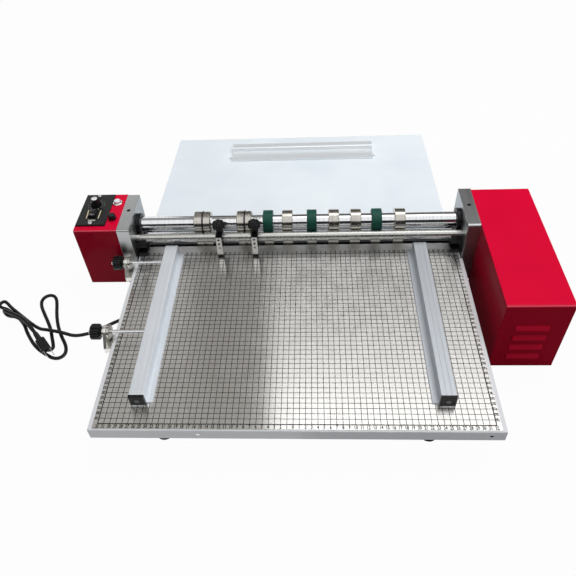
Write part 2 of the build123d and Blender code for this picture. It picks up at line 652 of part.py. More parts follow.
def guide_knob(y):
    """Star knob on a guide rod, with a bore that the rod slides through."""
    hub_end = BRACKET_X - 2.5 - GAP
    knob = Rot(0, -90, 0) * star_knob(STAR_KNOB_R, STAR_KNOB_T, 7, 8.5, HUB_L)
    knob = Pos(hub_end - HUB_L, y, GUIDE_ROD_Z) * knob
    return knob - rod_x(hub_end - HUB_L - STAR_KNOB_T - 5, hub_end + 5, y, GUIDE_ROD_Z, GUIDE_ROD_R + RUNNING)


# ---------------------------------------------------------------- covers and controls
def bent_box(x0, x1, y0, y1, z0, z1, bend):
    """A box whose top front edge is bent with a radius."""
    box = block(x0, x1, y0, y1, z0, z1)
    return fillet(box.edges().filter_by(Axis.X).group_by(Axis.Z)[-1].sort_by(Axis.Y)[0], bend)


def left_cover():
    """Five-sided sheet cover over the controls, open towards the side plate and below."""
    x0, x1 = LEFT_COVER_OUT, -PLATE_OUTER
    y0, y1 = LEFT_COVER_FRONT, LEFT_COVER_REAR
    shell = bent_box(x0, x1, y0, y1, LEFT_COVER_BOTTOM, COVER_TOP, COVER_BEND)
    shell -= bent_box(x0 + SHEET, x1 + 1, y0 + SHEET, y1 - SHEET, LEFT_COVER_BOTTOM - 1,
                      COVER_TOP - SHEET, COVER_BEND - SHEET)
    for (x, y), r in ((SPEED_KNOB, 4.5), (PUSH_BUTTON, BARREL_R), (FUSE_CAP, 5.5)):
        shell -= rod_z(COVER_TOP - 5, COVER_TOP + 5, x, y, r)
    return shell - rocker_box(2, COVER_TOP - 5, COVER_TOP + 5)


def right_cover():
    """Long sheet cover over the motor, with pressed louvres in its front."""
    x0, x1 = PLATE_OUTER, RIGHT_COVER_OUT
    y0, y1 = RIGHT_COVER_FRONT, RIGHT_COVER_REAR
    inside = COVER_TOP - SHEET
    below = RIGHT_COVER_BOTTOM - 1
    shell = bent_box(x0, x1, y0, y1, RIGHT_COVER_BOTTOM, COVER_TOP, COVER_BEND)
    shell -= bent_box(x0 + SHEET, x1 - SHEET, y0 + SHEET, y1 - SHEET, below, inside, COVER_BEND - SHEET)
    shell -= block(x0 - 1, x0 + 5, PLATE_FRONT, y1 - SHEET, below, inside)
    for i in range(LOUVRE_COUNT):
        shell = louvre(shell, LOUVRE_TOP_Z - i * LOUVRE_PITCH)
    return shell


LOUVRE_WALL = 1.2


def louvre_outline(z, inset):
    """A round-ended prism through the cover's front, smaller than a louvre by an inset."""
    front = Plane(origin=(LOUVRE_X, RIGHT_COVER_FRONT + 10, z), x_dir=(1, 0, 0), z_dir=(0, -1, 0))
    return extrude(front * SlotOverall(LOUVRE_LENGTH - 2 * inset, LOUVRE_HEIGHT - 2 * inset), 20)


def louvre(shell, z):
    """Press one louvre outwards: a sloping round-ended hood, closed above and open below."""
    x0, x1 = LOUVRE_X - LOUVRE_LENGTH / 2, LOUVRE_X + LOUVRE_LENGTH / 2
    y = RIGHT_COVER_FRONT
    lip = y - LOUVRE_DEPTH
    top, bottom = z + LOUVRE_HEIGHT / 2, z - LOUVRE_HEIGHT / 2
    hood = slab_x(((y, top), (lip, bottom + 3), (lip, bottom), (y, bottom)), x0, x1)
    back = y + SHEET + 1
    hollow = slab_x(((back, top - 2), (y, top - 2), (lip + LOUVRE_WALL, bottom + 2.5),
                     (lip + LOUVRE_WALL, bottom - 1), (y, bottom - 1), (y, bottom), (back, bottom)), x0, x1)
    straight = LOUVRE_HEIGHT / 2
    mouth = block(x0 + straight, x1 - straight, y - 10, y + 10, bottom - 2, z)
    return shell + (hood & louvre_outline(z, 0)) - (hollow & (louvre_outline(z, LOUVRE_WALL) + mouth))


def rocker_box(margin, z0, z1):
    """A box round the rocker's place, larger by a margin."""
    x, y = ROCKER
    half_w, half_l = ROCKER_W / 2 + margin, ROCKER_L / 2 + margin
    return block(x - half_w, x + half_w, y - half_l, y + half_l, z0, z1)


def control_panel():
    """Black panel on top of the left cover, with the switch body that the rocker key sits in."""
    x0, y0 = LEFT_COVER_OUT + 1, LEFT_COVER_FRONT + 14
    top = COVER_TOP + PANEL_T
    panel = block(x0, x0 + PANEL_W, y0, LEFT_COVER_REAR - 2, COVER_TOP, top)
    panel += block(x0 + 2, x0 + PANEL_W - 2, y0 + 1, y0 + 12, top, top + PANEL_STRIP_T)
    panel -= rod_z(COVER_TOP - 1, COVER_TOP + 9, *SPEED_KNOB, KNOB_SHAFT_R + 1)
    window = rocker_box(GAP, COVER_TOP - 1, COVER_TOP + 9)
    body = rocker_box(1.5, BOARD_Z + 4, COVER_TOP)
    hollow = rocker_box(0, COVER_TOP - 8, COVER_TOP + 9)
    return panel - window + pivot_hole(body - hollow)


SPEED_KNOB_R = 10.5
SPEED_KNOB_H = 17.0


def speed_knob():
    """Tall fluted knob with a pointer and a short shaft into the board below."""
    base = COVER_TOP + PANEL_T + 0.5
    knob = Pos(0, 0, SPEED_KNOB_H / 2) * Cone(SPEED_KNOB_R, SPEED_KNOB_R - 2.5, SPEED_KNOB_H)
    knob = fillet(knob.edges().group_by(Axis.Z)[-1], 1.2)
    for i in range(14):
        knob -= Rot(0, 0, 360 * (i + 0.5) / 14) * Pos(SPEED_KNOB_R + 0.2, 0, 4) * Cylinder(1.0, 18)
    return Pos(*SPEED_KNOB, base) * knob + rod_z(POT_TOP + GAP, base + 1, *SPEED_KNOB, KNOB_SHAFT_R)


ROCKER_TILT = 8.0
PIVOT_Z = COVER_TOP - 2.5  # axis of the rocker's pivot pin, in the switch body
PIVOT_R = 1.2


def pivot_hole(shape):
    """Bore the switch body for the rocker's pivot pin."""
    reach = ROCKER_W / 2 + 2
    return shape - rod_x(ROCKER[0] - reach, ROCKER[0] + reach, ROCKER_Y, PIVOT_Z, PIVOT_R + RUNNING)


def rocker():
    """Rocker switch key on its pivot pin, drawn with its rear end pressed."""
    key = Pos(0, 0, COVER_TOP + 1 - PIVOT_Z) * Box(ROCKER_W - 2 * GAP, ROCKER_L - 2, 10)
    key -= Pos(0, 0, COVER_TOP + 10.2 - PIVOT_Z) * Rot(0, 90, 0) * Cylinder(6.5, ROCKER_W)
    key += Rot(0, 90, 0) * Cylinder(PIVOT_R, ROCKER_W + 2.4)
    return Pos(*ROCKER, PIVOT_Z) * Rot(-ROCKER_TILT, 0, 0) * key


def push_button():
    """Chrome push button with its plunger."""
    top = Pos(0, 0, 3.5) * Cylinder(BUTTON_R, 7)
    top = fillet(top.edges().group_by(Axis.Z)[-1], 1.5)
    return Pos(*PUSH_BUTTON, COVER_TOP) * (top + Pos(0, 0, -6) * Cylinder(3, 12))


BUTTON_TRAVEL = 3.0


def button_bezel():
    """Chrome ring round the push button, with the barrel that its plunger slides in."""
    ring = rod_z(COVER_TOP, COVER_TOP + 2.5, *PUSH_BUTTON, BUTTON_R + 3)
    ring = bevel(ring, Axis.Z, COVER_TOP + 2.5, COVER_TOP + 2.5, 1.0)
    ring += rod_z(BOARD_Z + 4, COVER_TOP, *PUSH_BUTTON, BARREL_R)
    ring -= rod_z(COVER_TOP - BUTTON_TRAVEL - 0.5, COVER_TOP + 5, *PUSH_BUTTON, BUTTON_R + GAP)
    return ring - rod_z(BOARD_Z, COVER_TOP, *PUSH_BUTTON, 3 + GAP)


def fuse_cap():
    """Black screw cap of the fuse holder, with its body under the cover."""
    cap = Pos(0, 0, 5.5) * Cone(8.0, 6.8, 11)
    cap = fillet(cap.edges().group_by(Axis.Z)[-1], 1.5)
    cap -= Pos(0, 0, 11) * Box(9, 1.6, 2.4)
    return Pos(*FUSE_CAP, COVER_TOP + GAP) * (cap + Pos(0, 0, -9) * Cylinder(5, 18))


BOARD_Z = 60.0
POT_TOP = 77.0


def controller_board():
    """Speed controller: circuit board under the panel, with a finned heat sink and round capacitors."""
    x0, x1 = LEFT_COVER_OUT + 6, -PLATE_OUTER - 6
    board = block(x0, x1, 4, 92, BOARD_Z, BOARD_Z + 2)
    x, y = SPEED_KNOB
    board += block(x - 9, x + 9, y - 9, y + 9, BOARD_Z + 2, POT_TOP)
    sink = block(x0 + 4, x1 - 4, 30, 88, BOARD_Z - 10, BOARD_Z)
    for i in range(7):
        x = x0 + 9 + i * 10
        sink -= block(x, x + 5, 20, 100, BOARD_Z - 12, BOARD_Z - 4)
    board += sink
    for x in (x0 + 14, x0 + 34):
        board += rod_z(BOARD_Z - 24, BOARD_Z, x, 16, 8)
    for y in (8, 88):
        board += block(-PLATE_OUTER - 8, -PLATE_OUTER, y - 4, y + 4, BOARD_Z - 6, BOARD_Z)
    return board


# ---------------------------------------------------------------- rear tray
def tray_place(x, along, up):
    """Place on the tilted tray: along it from its near edge, and up from its top face."""
    return Pos(0, TRAY_START, 0) * Rot(-TRAY_FALL, 0, 0) * Pos(x, along, up)


def rear_tray():
    """Flat delivery tray with hemmed sides and a flange down to the rear beam."""
    sheet = tray_place(0, TRAY_LENGTH / 2, -SHEET / 2) * Box(2 * TRAY_HALF, TRAY_LENGTH, SHEET)
    for side in (-1, 1):
        hem = tray_place(side * (TRAY_HALF - SHEET / 2), TRAY_LENGTH / 2, -TRAY_HEM / 2)
        sheet += hem * Box(SHEET, TRAY_LENGTH, TRAY_HEM)
    end = tray_place(0, TRAY_LENGTH - SHEET / 2, -TRAY_HEM / 2)
    sheet += end * Box(2 * TRAY_HALF, SHEET, TRAY_HEM)
    for side in (-1, 1):
        x = side * TRAY_HALF
        sheet -= block(x - 2, x + 2, TRAY_START - 5, REAR_BEAM[1] + 1, -30, -SHEET - 1)
    flange = block(-TRAY_HALF + 4, TRAY_HALF - 4, TRAY_START, TRAY_START + SHEET, -26, -SHEET / 2)
    return sheet + flange


LEG_ALONG = 360.0
LEG_X = TRAY_HALF - 70.0


def tray_legs():
    """Two posts under the far end of the tray, cut to its slope."""
    legs = []
    high = -FLOOR_Z
    above = tray_place(0, TRAY_LENGTH / 2, high / 2 - SHEET) * Box(3 * TRAY_HALF, 2 * TRAY_LENGTH, high)
    y = TRAY_START + LEG_ALONG * cos(radians(TRAY_FALL))
    for side in (-1, 1):
        post = rod_z(FLOOR_Z, 0, side * LEG_X, y, 8) + rod_z(FLOOR_Z, FLOOR_Z + 6, side * LEG_X, y, 12)
        post += rod_z(-40, 0, side * LEG_X, y, 14)
        legs.append(post - above)
    return group(*legs)


STOP_BASE = 43.0
STOP_RAIL = 24.0
STOP_BASE_T = 4.0
STOP_RAIL_H = 13.0


def stop_bar():
    """Stop bar that lies across the tray: a thin front flange and a raised rear rail."""
    length = STOP_BAR_X[1] - STOP_BAR_X[0]
    middle = (STOP_BAR_X[0] + STOP_BAR_X[1]) / 2
    base = Pos(0, STOP_BASE / 2, STOP_BASE_T / 2) * Box(length, STOP_BASE, STOP_BASE_T)
    rail = Pos(0, STOP_BASE + STOP_RAIL / 2, STOP_RAIL_H / 2) * Box(length, STOP_RAIL, STOP_RAIL_H)
    rail = fillet(rail.edges().filter_by(Axis.X).group_by(Axis.Z)[-1], 4)
    bar = base + rail
    for side in (-1, 1):
        bar += Pos(side * (length / 2 + 2.5), STOP_BASE * 0.35, 3.0) * Rot(0, 90, 0) * Cylinder(2.6, 9)
    return tray_place(middle, STOP_BAR_START, GAP) * bar


# ---------------------------------------------------------------- small screws
EDGE_SCREW_INSETS = (181.0, 23.0)  # from the table's left and right edges


def small_screws():
    """Pan-head screws in the panel, in the table's front edge and in the rod brackets."""
    rear, front = PANEL_SCREWS
    screws = [Pos(*rear, COVER_TOP + PANEL_T) * pan_head(4.0, 2.5),
              Pos(*front, COVER_TOP + PANEL_T + PANEL_STRIP_T) * pan_head(4.5, 2.5)]
    for x in (EDGE_SCREW_INSETS[0] - TABLE_HALF, TABLE_HALF - EDGE_SCREW_INSETS[1]):
        screws.append(Pos(x, TABLE_FRONT, -10) * Rot(90, 0, 0) * pan_head(3.0, EDGE_SCREW_H))
    for y in GUIDE_ROD_Y:
        place = Pos(BRACKET_X, y - BRACKET_TAIL + 7, BRACKET_LOW + 8)
        screws.append(place * Rot(0, -90, 0) * pan_head(3.2, 1.8))
    return group(*screws)


def corner_blocks():
    """Dark stop blocks in the rear corners of the table, beside the side plates."""
    blocks = []
    for side in (-1, 1):
        x = side * (PLATE_INNER - 11.5)
        body = fillet(block(x - 9.5, x + 9.5, -2, 24, 0, 9).edges().filter_by(Axis.Z), 4)
        blocks.append(body - rod_z(5, 10, x, 10, 3))
    return group(*blocks)


# ---------------------------------------------------------------- mains cord
# The route in X, Y and Z, from the gland under the table to the plug's strain relief. The cord lies
# on the floor and climbs over itself where it crosses.
HUMP_Z = CORD_Z + 10.6
LOW_HUMP_Z = CORD_Z + 8.0
FOLD_Z = CORD_Z + 15.9
CORD_ROUTE = [
    (GLAND_X, FRONT_BEAM[0] - GLAND_L, GLAND_Z),
    (GLAND_X, FRONT_BEAM[0] - GLAND_L - 16, GLAND_Z),
    (GLAND_X - 7, -74, -55),
    (GLAND_X - 23, -89, -70),
    (GLAND_X - 48, -99, CORD_Z),
    (-378, -114, CORD_Z),
    (-406, -136, CORD_Z),
    (-433, -147.5, CORD_Z),
    (-456, -150.5, CORD_Z),
    (-473, -150.5, HUMP_Z),
    (-509, -142.5, HUMP_Z),
    (-532, -132, CORD_Z),
    (-558.5, -114.5, CORD_Z),
    (-586, -93, CORD_Z),
    (-608.5, -76, CORD_Z),
    (-619, -67, CORD_Z),
    (-625.5, -60.5, CORD_Z),
    (-636.5, -52, CORD_Z),
    (-645.5, -63, CORD_Z),
    (-635, -72.5, CORD_Z),
    (-623, -75, CORD_Z),
    (-605, -87.5, CORD_Z),
    (-587.5, -101, CORD_Z),
    (-576, -112, CORD_Z),
    (-566, -123.5, CORD_Z),
    (-557.5, -138, CORD_Z),
    (-545, -155, CORD_Z),
    (-531.5, -171.5, CORD_Z),
    (-517.5, -184.5, CORD_Z),
    (-504, -193.5, CORD_Z),
    (-494, -199.5, CORD_Z),
    (-482, -206.5, CORD_Z),
    (-468.5, -207.5, CORD_Z),
    (-459.5, -199, CORD_Z),
    (-459.5, -186, CORD_Z),
    (-466, -171.5, CORD_Z),
    (-481, -150, CORD_Z),
    (-496.5, -122, CORD_Z),
    (-508, -92, CORD_Z),
    (-515.5, -65, CORD_Z),
    (-522, -46.5, CORD_Z),
    (-533, -36, CORD_Z),
    (-547, -38.5, CORD_Z),
    (-553.5, -51, CORD_Z),
    (-549, -68, CORD_Z),
    (-536, -89, CORD_Z),
    (-520, -113, CORD_Z),
    (-507.5, -134, CORD_Z),
    (-498.5, -155, CORD_Z),
    (-491, -171.5, CORD_Z),
    (-487.5, -182, CORD_Z),
    (-496, -188.5, CORD_Z),
    (-506.5, -180, CORD_Z),
    (-521, -163.5, CORD_Z),
    (-532.5, -147.5, CORD_Z),
    (-548.5, -132.5, CORD_Z),
    (-562, -120.5, LOW_HUMP_Z),
    (-590, -104, LOW_HUMP_Z),
    (-605.5, -97.5, CORD_Z),
    (-618.5, -91.5, CORD_Z),
    (-618.5, -91.5, FOLD_Z),
    (-604.5, -98.5, FOLD_Z),
    (-588.5, -105, FOLD_Z + 0.6),
    (-573, -113, FOLD_Z + 0.6),
    (-560, -122.5, FOLD_Z),
    (-547.5, -134, FOLD_Z - 1),
    (PLUG_START[0] - 11 * cos(radians(PLUG_TURN)), PLUG_START[1] - 11 * sin(radians(PLUG_TURN)), PLUG_Z),
    (PLUG_START[0], PLUG_START[1], PLUG_Z),
]


def turn_angle(a, b, c):
    """Angle in radians by which the route turns at b."""
    return radians((Vector(*b) - Vector(*a)).get_angle(Vector(*c) - Vector(*b)))


def power_cord():
    """Round cord along its route, with an arc at each corner as large as its two runs allow."""
    points = CORD_ROUTE
    radii = []
    for a, b, c in zip(points, points[1:], points[2:]):
        shorter = min((Vector(*b) - Vector(*a)).length, (Vector(*c) - Vector(*b)).length)
        radii.append(0.45 * shorter / tan(turn_angle(a, b, c) / 2))
    path = FilletPolyline(*points, radius=radii)
    print("cord radii mm:", [round(r, 1) for r in radii])
    print("cord length mm:", round(path.length, 1))
    tube = sweep(Plane(origin=path @ 0, z_dir=path % 0) * Circle(CORD_R), path=path)
    plain_volume = pi * CORD_R ** 2 * path.length
    print("cord volume over section times length:", round(tube.volume / plain_volume, 4))
    return tube


def cord_gland():
    """Gland in the front beam with the tapered boot that the cord comes out of."""
    y = FRONT_BEAM[0]
    nut = rod_y(y - GLAND_NUT, y, GLAND_X, GLAND_Z, GLAND_R)
    nut += rod_y(y, y + 2.5, GLAND_X, GLAND_Z, GLAND_R - 2)
    boot = Rot(90, 0, 0) * Cone(GLAND_R - 2, CORD_R + 1, GLAND_L - GLAND_NUT)
    return nut + Pos(GLAND_X, y - (GLAND_L + GLAND_NUT) / 2, GLAND_Z) * boot


def on_plug(along, across, up):
    """Place in the plug's own frame: along its axis from the cord's end."""
    return Pos(PLUG_START[0], PLUG_START[1], PLUG_Z) * Rot(0, 0, PLUG_TURN) * Pos(along, across, up)


def plug():
    """Moulded plug: a tapered ribbed relief and a flat body."""
    relief = on_plug(PLUG_RELIEF_L / 2, 0, 0) * Rot(0, 90, 0) * Cone(CORD_R + 1.2, 6.0, PLUG_RELIEF_L)
    for i in range(3):
        s = 5 + 5 * i
        cut = Rot(0, 90, 0) * (Cylinder(12, 1.8) - Cylinder(CORD_R + 1.2 + s * 0.04, 1.8))
        relief -= on_plug(s, 0, 0) * cut
    body = Box(PLUG_L, PLUG_W, PLUG_H)
    body = fillet(body.edges(), 3.5)
    return relief + on_plug(PLUG_RELIEF_L + PLUG_L / 2 - 0.5, 0, 0) * body


PIN_GAP = 12.7
PIN_L = 17.0


def plug_pins():
    """Two flat pins."""
    start = PLUG_RELIEF_L + PLUG_L - 0.5
    pin = Box(PIN_L, 1.6, 6.3)
    return group(*[on_plug(start + PIN_L / 2, side * PIN_GAP / 2, 0) * pin for side in (-1, 1)])


# ---------------------------------------------------------------- write every piece
def main():
    os.makedirs("parts", exist_ok=True)
    save(table_top(), "table_top")
    save(scale_sheet(), "scale_sheet")
    save(table_ribs(), "table_ribs")
    save(rubber_feet(), "rubber_feet")
    save(side_plate(), "right_side_plate")
    save(mirror_x(side_plate()), "left_side_plate")
    save(cross_beams(), "cross_beams")
    save(bearing_housings(), "bearing_housings")
    save(shaft_bearings(), "shaft_bearings")
    save(pressure_screws(), "pressure_screws")
    save(upper_shaft(), "upper_shaft")
    save(lower_shaft(), "lower_shaft")
    save(group(creasing_ring(CREASE_RING_LEFT), creasing_ring(CREASE_RING_RIGHT)), "creasing_rings")
    save(creasing_rims(), "creasing_rims")
    save(group(*[feed_wheel(x) for x in FEED_WHEEL_X]), "feed_wheels")
    save(group(*[plain_ring(x) for x in PLAIN_RING_X]), "plain_rings")
    save(lower_rings(), "lower_rings")
    save(shaft_gear(UPPER_TEETH, UPPER_Y, UPPER_Z, UPPER_JOURNAL_R, -90), "upper_gear")
    save(shaft_gear(LOWER_TEETH, LOWER_Y, LOWER_Z, LOWER_JOURNAL_R, 90 + 180 / LOWER_TEETH), "lower_gear")
    save(drive_pinion(), "drive_pinion")
    save(gearbox_plate(), "gearbox_plate")
    save(gearbox(), "gearbox")
    save(motor(), "motor")
    save(rod_x(-PLATE_INNER, PLATE_INNER, ROD_Y, ROD_Z, ROD_R), "cross_rod")
    save(rod_blocks(), "rod_blocks")
    for side, x in zip(("left", "right"), FINGER_X):
        save(finger_clamp(x), side + "_finger_clamp")
        save(finger_knob(x), side + "_finger_knob")
        save(finger_strip(x), side + "_finger_strip")
        save(finger_pad(x), side + "_finger_pad")
    save(guide(LEFT_GUIDE_INNER, -1, GAP), "left_guide")
    save(guide_caps(LEFT_GUIDE_INNER, -1, GAP), "left_guide_caps")
    save(guide(RIGHT_GUIDE_INNER, 1, 0), "right_guide")
    save(guide_caps(RIGHT_GUIDE_INNER, 1, 0), "right_guide_caps")
    save(guide_rods(), "guide_rods")
    save(rod_brackets(), "rod_brackets")
    save(rod_collars(), "rod_collars")
    for place, y in zip(("front", "rear"), GUIDE_ROD_Y):
        save(guide_knob(y), place + "_guide_knob")
    save(left_cover(), "left_cover")
    save(right_cover(), "right_cover")
    save(control_panel(), "control_panel")
    save(speed_knob(), "speed_knob")
    save(rocker(), "rocker")
    save(push_button(), "push_button")
    save(button_bezel(), "button_bezel")
    save(fuse_cap(), "fuse_cap")
    save(controller_board(), "controller_board")
    save(rear_tray(), "rear_tray")
    save(tray_legs(), "tray_legs")
    save(stop_bar(), "stop_bar")
    save(small_screws(), "small_screws")
    save(corner_blocks(), "corner_blocks")
    save(power_cord(), "power_cord")
    save(cord_gland(), "cord_gland")
    save(plug(), "plug")
    save(plug_pins(), "plug_pins")


main()
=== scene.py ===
from math import cos, radians, sin, tau

import bmesh
import bpy
from mathutils import Matrix, Vector


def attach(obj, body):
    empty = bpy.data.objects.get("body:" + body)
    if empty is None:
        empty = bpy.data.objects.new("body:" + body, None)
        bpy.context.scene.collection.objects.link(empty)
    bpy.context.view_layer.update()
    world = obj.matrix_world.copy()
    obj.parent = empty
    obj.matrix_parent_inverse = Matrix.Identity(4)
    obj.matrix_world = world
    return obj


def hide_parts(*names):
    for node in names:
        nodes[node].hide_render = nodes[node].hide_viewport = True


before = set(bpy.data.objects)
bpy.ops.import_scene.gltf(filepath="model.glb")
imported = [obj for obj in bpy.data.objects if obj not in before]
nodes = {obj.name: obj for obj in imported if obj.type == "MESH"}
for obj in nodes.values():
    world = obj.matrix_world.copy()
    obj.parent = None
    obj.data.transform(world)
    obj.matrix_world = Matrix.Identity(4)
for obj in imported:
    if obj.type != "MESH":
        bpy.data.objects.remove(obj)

# Places are given in the machine's own frame, in millimetres: X = 0 at the middle of the printed
# scale, Y = 0 at its zero line near the rollers and Z = 0 at the top of the feed table.
# row() turns them into the loaded model's frame, which is SHIFT away.
FLOOR_Z = -84.0
SHIFT = Vector((-13.5, -32.34885, -FLOOR_Z))

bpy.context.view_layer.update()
scene = bpy.context.scene


def row(x, y, z):
    """A place of the machine's frame in the loaded model's frame, in metres."""
    return (Vector((x, y, z)) + SHIFT) / 1000


# ---------------------------------------------------------------- camera
# Its lens, shift and place follow from the printed grid, whose size is known.
camera = bpy.data.objects.new("camera", bpy.data.cameras.new("camera"))
scene.collection.objects.link(camera)
scene.camera = camera
camera.data.sensor_width = 36
camera.data.lens = 37.3807
camera.data.shift_x = 0.016905
camera.data.shift_y = -0.021943
camera.data.clip_start = 0.05
camera.data.clip_end = 60
camera.matrix_world = Matrix((
    (0.99802521, 0.01049382, 0.06193184, 0.024756),
    (0.03623508, 0.70918561, -0.70409004, -0.938517),
    (-0.05130976, 0.70494372, 0.70740488, 0.931790),
    (0, 0, 0, 1)))

# ---------------------------------------------------------------- mains cord
CORD_R = 3.6
CORD_Z = FLOOR_Z + CORD_R + 0.1
HUMP_Z = CORD_Z + 10.6
LOW_HUMP_Z = CORD_Z + 8.0
FOLD_Z = CORD_Z + 15.9
PLUG_Z = -70.0
PLUG_START = (-531.0, -152.0)
PLUG_TURN = radians(-48.7)
LEAD_IN = 11               # the lead's last stretch, in line with the plug
CORD_ROUTE = [
    (-300, -40, -45),
    (-300, -56, -45),
    (-307, -74, -55),
    (-323, -89, -70),
    (-348, -99, CORD_Z),
    (-378, -114, CORD_Z),
    (-406, -136, CORD_Z),
    (-433, -147.5, CORD_Z),
    (-456, -150.5, CORD_Z),
    (-473, -150.5, HUMP_Z),
    (-509, -142.5, HUMP_Z),
    (-532, -132, CORD_Z),
    (-558.5, -114.5, CORD_Z),
    (-586, -93, CORD_Z),
    (-608.5, -76, CORD_Z),
    (-619, -67, CORD_Z),
    (-625.5, -60.5, CORD_Z),
    (-636.5, -52, CORD_Z),
    (-645.5, -63, CORD_Z),
    (-635, -72.5, CORD_Z),
    (-623, -75, CORD_Z),
    (-605, -87.5, CORD_Z),
    (-587.5, -101, CORD_Z),
    (-576, -112, CORD_Z),
    (-566, -123.5, CORD_Z),
    (-557.5, -138, CORD_Z),
    (-545, -155, CORD_Z),
    (-531.5, -171.5, CORD_Z),
    (-517.5, -184.5, CORD_Z),
    (-504, -193.5, CORD_Z),
    (-494, -199.5, CORD_Z),
    (-482, -206.5, CORD_Z),
    (-468.5, -207.5, CORD_Z),
    (-459.5, -199, CORD_Z),
    (-459.5, -186, CORD_Z),
    (-466, -171.5, CORD_Z),
    (-481, -150, CORD_Z),
    (-496.5, -122, CORD_Z),
    (-508, -92, CORD_Z),
    (-515.5, -65, CORD_Z),
    (-522, -46.5, CORD_Z),
    (-533, -36, CORD_Z),
    (-547, -38.5, CORD_Z),
    (-553.5, -51, CORD_Z),
    (-549, -68, CORD_Z),
    (-536, -89, CORD_Z),
    (-520, -113, CORD_Z),
    (-507.5, -134, CORD_Z),
    (-498.5, -155, CORD_Z),
    (-491, -171.5, CORD_Z),
    (-487.5, -182, CORD_Z),
    (-496, -188.5, CORD_Z),
    (-506.5, -180, CORD_Z),
    (-521, -163.5, CORD_Z),
    (-532.5, -147.5, CORD_Z),
    (-548.5, -132.5, CORD_Z),
    (-562, -120.5, LOW_HUMP_Z),
    (-590, -104, LOW_HUMP_Z),
    (-605.5, -97.5, CORD_Z),
    (-618.5, -91.5, CORD_Z),
    (-618.5, -91.5, FOLD_Z),
    (-604.5, -98.5, FOLD_Z),
    (-588.5, -105, FOLD_Z + 0.6),
    (-573, -113, FOLD_Z + 0.6),
    (-560, -122.5, FOLD_Z),
    (-547.5, -134, FOLD_Z - 1),
    (PLUG_START[0] - LEAD_IN * cos(PLUG_TURN), PLUG_START[1] - LEAD_IN * sin(PLUG_TURN), PLUG_Z),
    (PLUG_START[0], PLUG_START[1], PLUG_Z),
]


def free_cord():
    """The lead as one smooth spline along its route, from the gland to the plug."""
    curve = bpy.data.curves.new("mains_lead", "CURVE")
    curve.dimensions = "3D"
    curve.bevel_depth = 1.0
    curve.bevel_resolution = 5
    curve.resolution_u = 12
    curve.use_fill_caps = True
    spline = curve.splines.new("NURBS")
    spline.points.add(len(CORD_ROUTE) - 1)
    for point, place in zip(spline.points, CORD_ROUTE):
        point.co = (*row(*place), 1)
        point.radius = CORD_R / 1000
    spline.order_u = 3
    spline.use_endpoint_u = True
    cord = bpy.data.objects.new("mains_lead", curve)
    scene.collection.objects.link(cord)
    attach(cord, "frame")
    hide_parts("power_cord")
    return cord


lead = free_cord()


